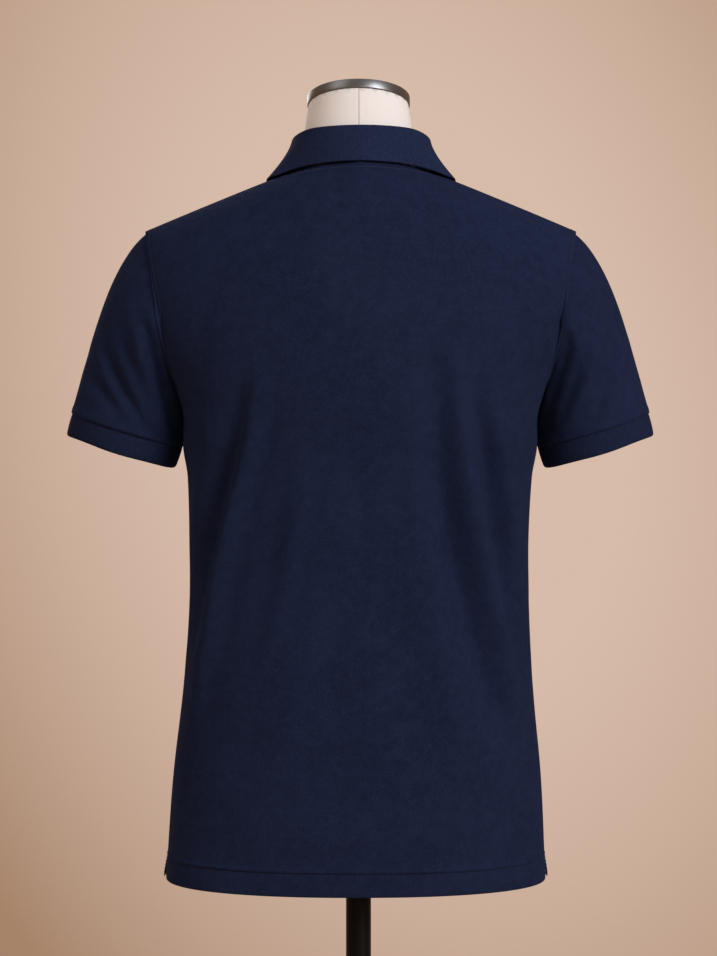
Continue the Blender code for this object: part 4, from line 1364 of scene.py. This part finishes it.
class POLO_OT_panels(bpy.types.Operator):
    """Add the shirt's back and front with their stitches"""

    bl_idname = "polo.panels"
    bl_label = "Panels"

    def execute(self, context):
        back, front = shape("back"), shape("front")
        cut = np.zeros((front.shape[0] - 1, front.shape[1] - 1), dtype=bool)
        centre = front.shape[1] // 2
        first = int(np.argmax(front[:, centre, 2] > CHEST + SLIT_BOTTOM - 1e-6))
        cut[first:, centre - CENTRE_COLUMNS:centre + CENTRE_COLUMNS] = True
        for name, grid, holes, flat, area in (
                ("back_panel", back, None, (0.56, 0.75), 0.355),
                ("front_panel", front, cut, (0.58, 0.74), 0.350)):
            obj = hand_in(cloth(name + "_cloth", grid, PANEL_WALL, cut=holes),
                          fabric("pique"), (name,))
            rows = panel_stitches(name == "back_panel")
            if name == "back_panel":
                rows += seam_stitches()
            sewn = sewn_rows(name + "_stitches", rows)
        return {"FINISHED"}


class POLO_OT_sleeves(bpy.types.Operator):
    """Add the sleeves and their rib cuffs"""

    bl_idname = "polo.sleeves"
    bl_label = "Sleeves"

    def execute(self, context):
        ring = shape("armhole")
        right_ring = armhole_ring(other_side(shape("back")), other_side(shape("front")))
        for name, edge, creases, mirrored in (("left", ring, LEFT_SLEEVE_CREASES, False),
                                              ("right", right_ring, RIGHT_SLEEVE_CREASES, True)):
            grid = sleeve_grid(edge, creases, mirrored)
            cuff = cuff_grid(turns_round(edge))
            if mirrored:
                grid, cuff = other_side(grid), other_side(cuff)
            sleeve = hand_in(cloth("sleeve_%s_cloth" % name, grid, PANEL_WALL, closed=True),
                             fabric("pique"), ("sleeve_" + name,))
            # the cuffs take the darkened rib, painted shade
            band = hand_in(cloth("cuff_%s_cloth" % name, cuff, RIB_WALL, closed=True),
                           fabric("cuff"), ("cuff_" + name,))
        return {"FINISHED"}


class POLO_OT_collar(bpy.types.Operator):
    """Add the rib collar"""

    bl_idname = "polo.collar"
    bl_label = "Collar"

    def execute(self, context):
        collar = hand_in(cloth("collar_cloth", collar_grid(), RIB_WALL), fabric("rib"), ("collar",))
        return {"FINISHED"}


class POLO_OT_placket(bpy.types.Operator):
    """Add the placket, its stitches and its buttons"""

    bl_idname = "polo.placket"
    bl_label = "Placket"

    def execute(self, context):
        front = shape("front")
        under_lines = placket_lines(front, 0.0, -0.0006)
        under = strip_across(under_lines, -PLACKET_HALF * 0.97, PLACKET_HALF * 0.75, 14)
        over_lines = placket_lines(front, 0.010, 0.0012)
        over = strip_across(over_lines, -PLACKET_HALF * 1.10, PLACKET_HALF * 1.12, 18)
        normals = outward_normals(over, -1)
        over = over + normals * 0.0017
        under_piece = cloth("placket_under_cloth", under, PANEL_WALL)
        over_piece = cloth("placket_over_cloth", over, PANEL_WALL)
        hand_in(under_piece, fabric("pique"), ("placket_under",))
        hand_in(over_piece, fabric("pique"), ("placket_over",))
        rows = []
        for column in (1, over.shape[1] - 2):
            rows.append((over[1:-1, column] + normals[1:-1, column] * THREAD_LIFT, normals[1:-1, column]))
        for row in (1, 5):
            rows.append((over[row, 1:-1] + normals[row, 1:-1] * THREAD_LIFT, normals[row, 1:-1]))
        middle = over[:, over.shape[1] // 2]
        outward = normals[:, over.shape[1] // 2]
        lengths = lengths_along(middle)
        for name, drop in BUTTONS:
            place = lengths[-4] - drop
            index = int(np.argmin(abs(lengths - place)))
            where = points_at(middle, [place / lengths[-1]])[0]
            up = middle[min(index + 2, len(middle) - 1)] - middle[index - 2]
            up /= np.linalg.norm(up)
            out = outward[index] - up * (outward[index] @ up)
            out /= np.linalg.norm(out)
            across = np.cross(up, out)
            oval = []
            for degrees in range(0, 361, 12):
                swing = math.radians(degrees)
                oval.append(where + up * 0.0078 * math.sin(swing) + across * 0.00075 * math.cos(swing)
                            + out * THREAD_LIFT)
            rows.append((np.array(oval), np.tile(out, (len(oval), 1))))
            button = four_hole_button(name + "_detail", fabric("button"), fabric("thread"),
                                      as_worn(where + out * (THREAD_LIFT + SEAM_GAP + BUTTON_THICK / 2)),
                                      up, out)
            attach(button, "root")
            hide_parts(name)
        sewn = sewn_rows("placket_stitches", rows)
        return {"FINISHED"}


class POLO_OT_form(bpy.types.Operator):
    """Add the dress form with its neck band and cap"""

    bl_idname = "polo.form"
    bl_label = "Dress Form"

    def execute(self, context):
        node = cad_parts["form_torso"]
        torso = node.copy()
        torso.data = node.data.copy()
        bpy.context.scene.collection.objects.link(torso)
        torso.parent = None
        torso.hide_render = torso.hide_viewport = False
        torso.name = torso.data.name = "dress_form"
        select_only(torso)
        start_edit()
        bpy.ops.mesh.select_all(action="SELECT")
        bpy.ops.mesh.remove_doubles(threshold=0.00002)
        bpy.ops.mesh.tris_convert_to_quads(face_threshold=math.radians(60), shape_threshold=math.radians(60))
        bpy.ops.mesh.select_all(action="DESELECT")
        bpy.context.tool_settings.mesh_select_mode = (False, True, False)
        bpy.ops.mesh.edges_select_sharp(sharpness=math.radians(40))
        bpy.ops.transform.edge_crease(value=1.0)
        bpy.context.tool_settings.mesh_select_mode = (True, False, False)
        end_edit()
        smooth = torso.modifiers.new("Smooth", "SUBSURF")
        smooth.levels = smooth.render_levels = 2
        bpy.ops.object.modifier_apply(modifier=smooth.name)
        bpy.ops.object.shade_smooth_by_angle(angle=math.radians(40))
        canvas = made_once("Cream Canvas", canvas_material, settings().form_colour)
        hand_in(torso, canvas, ("form_torso",))

        steel = made_once("Brushed Steel", steel_material, settings().steel_colour)
        band = tube("neck_band_steel", NECK_TOP + 0.0012, 0.0042, 0.0003, BAND_HEIGHT, 0.0007, 160)
        hand_in(lean_to_neck(band), steel, ("neck_band",))
        cap = cylinder("neck_cap_steel", NECK_TOP - 0.0034, 0.0003, BAND_HEIGHT - 0.0018, 0.0008, 128)
        hand_in(lean_to_neck(cap), steel, ("neck_cap",))
        return {"FINISHED"}


class POLO_OT_stand(bpy.types.Operator):
    """Add the pole, its fittings and the round base"""

    bl_idname = "polo.stand"
    bl_label = "Stand"

    def execute(self, context):
        black = made_once("Black Satin", stand_material, (0.0030, 0.0028, 0.0025))
        top = CHEST + FORM_BOTTOM - SEAM_GAP
        pieces = (
            (cylinder("base_plate_steel", BASE_RADIUS, 0.0, BASE_THICK, 0.0016, 160), "base_plate"),
            (cylinder("pole_steel", POLE_RADIUS, BASE_THICK + SEAM_GAP, top - FLANGE_THICK - SEAM_GAP,
                      0.0006, 64), "pole"),
            (cylinder("pole_flange_steel", FLANGE_RADIUS, top - FLANGE_THICK, top, 0.0012), "pole_flange"),
            (foot_socket(), "foot_socket"))
        for obj, node in pieces:
            hand_in(obj, black, (node,))
        return {"FINISHED"}


def foot_socket():
    """The socket that the pole stands in: a wide foot, a step and a bevelled tube, opened for the pole."""
    low = BASE_THICK + SEAM_GAP
    opening = POLE_RADIUS + SEAM_GAP
    foot = tube("foot_socket_steel", FOOT_RADIUS, FOOT_RADIUS - opening, low, low + 0.0062, 0.0012)
    neck = tube("foot_socket_neck", SOCKET_RADIUS, SOCKET_RADIUS - opening, low + 0.0056,
                low + SOCKET_HEIGHT, 0.0010)
    return joined("foot_socket_steel", [foot, neck])


class POLO_OT_stage(bpy.types.Operator):
    """Add the floor, the lights, the surroundings and the camera"""

    bl_idname = "polo.stage"
    bl_label = "Studio"

    def execute(self, context):
        colour = tuple(settings().studio_colour)
        bpy.ops.object.select_all(action="DESELECT")
        bpy.ops.mesh.primitive_circle_add(vertices=128, radius=2.4, fill_type="NGON")
        start_edit()
        bpy.ops.mesh.select_all(action="SELECT")
        bpy.ops.mesh.extrude_region_move(TRANSFORM_OT_translate={"value": (0, 0, -0.02)})
        bpy.ops.mesh.select_all(action="SELECT")
        bpy.ops.mesh.normals_make_consistent(inside=False)
        end_edit()
        floor = put_down("studio_floor")
        top = max(vertex.co.z for vertex in floor.data.vertices)
        floor.data.transform(Matrix.Translation((0, 0, -0.0005 - top)))
        floor.data.materials.append(floor_material(toned(colour, 1.05)))

        for name, place, aim, size, share, tint in (
                ("key", (-1.95, 2.25, 2.15), 1.15, 1.6, 1.0, (0.96, 0.97, 1.0)),
                ("fill", (2.0, 1.7, 3.0), 1.30, 1.8, 0.17, (1.0, 0.97, 0.94)),
                ("front_fill", (0.9, -2.6, 2.2), 1.10, 1.8, 0.35, (1.0, 0.98, 0.96))):
            light(context, name, place, aim, size, settings().key_power * share, tint)

        world = bpy.data.worlds.new("Studio")
        context.scene.world = world
        surroundings(world, colour)
        camera = bpy.data.objects.new("camera", bpy.data.cameras.new("camera"))
        context.scene.collection.objects.link(camera)
        camera.location = (0.0, CAMERA_DISTANCE, CHEST)
        camera.rotation_euler = (math.radians(90), 0.0, math.radians(180))
        camera.data.lens = CAMERA_LENS
        camera.data.sensor_width = 36.0
        camera.data.dof.use_dof = False
        context.scene.camera = camera
        context.scene.view_settings.view_transform = "Standard"
        context.scene.view_settings.look = "None"
        return {"FINISHED"}


def light(context, name, place, aim, size, power, colour):
    """A round soft light that points at the middle of the form, aim metres up."""
    lamp = bpy.data.lights.new(name, "AREA")
    lamp.shape = "DISK"
    lamp.size = size
    lamp.energy = power
    lamp.color = colour
    obj = bpy.data.objects.new(name, lamp)
    context.scene.collection.objects.link(obj)
    obj.location = place
    obj.rotation_euler = (Vector((0.0, 0.0, aim)) - Vector(place)).to_track_quat("-Z", "Y").to_euler()


def surroundings(world, colour):
    """A pale wall of light, brightest behind the shirt, under a soft white ceiling."""
    shader = Shader(world)
    x, _, z = shader.axes(shader.node("ShaderNodeTexCoord", output=0))
    fall = x * x * 14.0 + z * z * 7.5 + x * 0.8 - z * 0.66 - x * z * 3.6 - 0.14
    far = (colour[0] * 0.56, colour[1] * 0.46, colour[2] * 0.36)
    glow = shader.blend(fall.most(0.0).least(1.0), colour, far)
    lit = shader.blend(z.stepped(0.42, 0.80), glow, CEILING)
    ground = shader.blend((-z).stepped(0.30, 0.9), lit, toned(colour, 0.45))
    sky = shader.node("ShaderNodeBackground", Color=ground, Strength=1.0)
    end = shader.tree.nodes.new("ShaderNodeOutputWorld")
    shader.tree.links.new(sky.output, end.inputs["Surface"])


class POLO_PT_panel(bpy.types.Panel):
    """Buttons and settings in the sidebar"""

    bl_idname = "POLO_PT_panel"
    bl_label = "Polo Shirt"
    bl_space_type = "VIEW_3D"
    bl_region_type = "UI"
    bl_category = "Polo Shirt"

    def draw(self, context):
        for name in ("cloth_colour", "form_colour", "steel_colour", "studio_colour", "key_power",
                     "stitch_length"):
            self.layout.prop(context.scene.polo_shirt, name)
        for operator in OPERATORS:
            self.layout.operator(operator.bl_idname)


OPERATORS = (POLO_OT_panels, POLO_OT_sleeves, POLO_OT_collar, POLO_OT_placket, POLO_OT_form,
             POLO_OT_stand, POLO_OT_stage)
CLASSES = (POLO_PG_settings, *OPERATORS, POLO_PT_panel)


def register():
    for item in CLASSES:
        bpy.utils.register_class(item)
    bpy.types.Scene.polo_shirt = PointerProperty(type=POLO_PG_settings)


def unregister():
    del bpy.types.Scene.polo_shirt
    for item in reversed(CLASSES):
        bpy.utils.unregister_class(item)


def main():
    register()
    bpy.ops.polo.form()
    bpy.ops.polo.panels()
    bpy.ops.polo.sleeves()
    bpy.ops.polo.collar()
    bpy.ops.polo.placket()
    bpy.ops.polo.stand()
    bpy.ops.polo.stage()


if __name__ == "__main__":
    main()
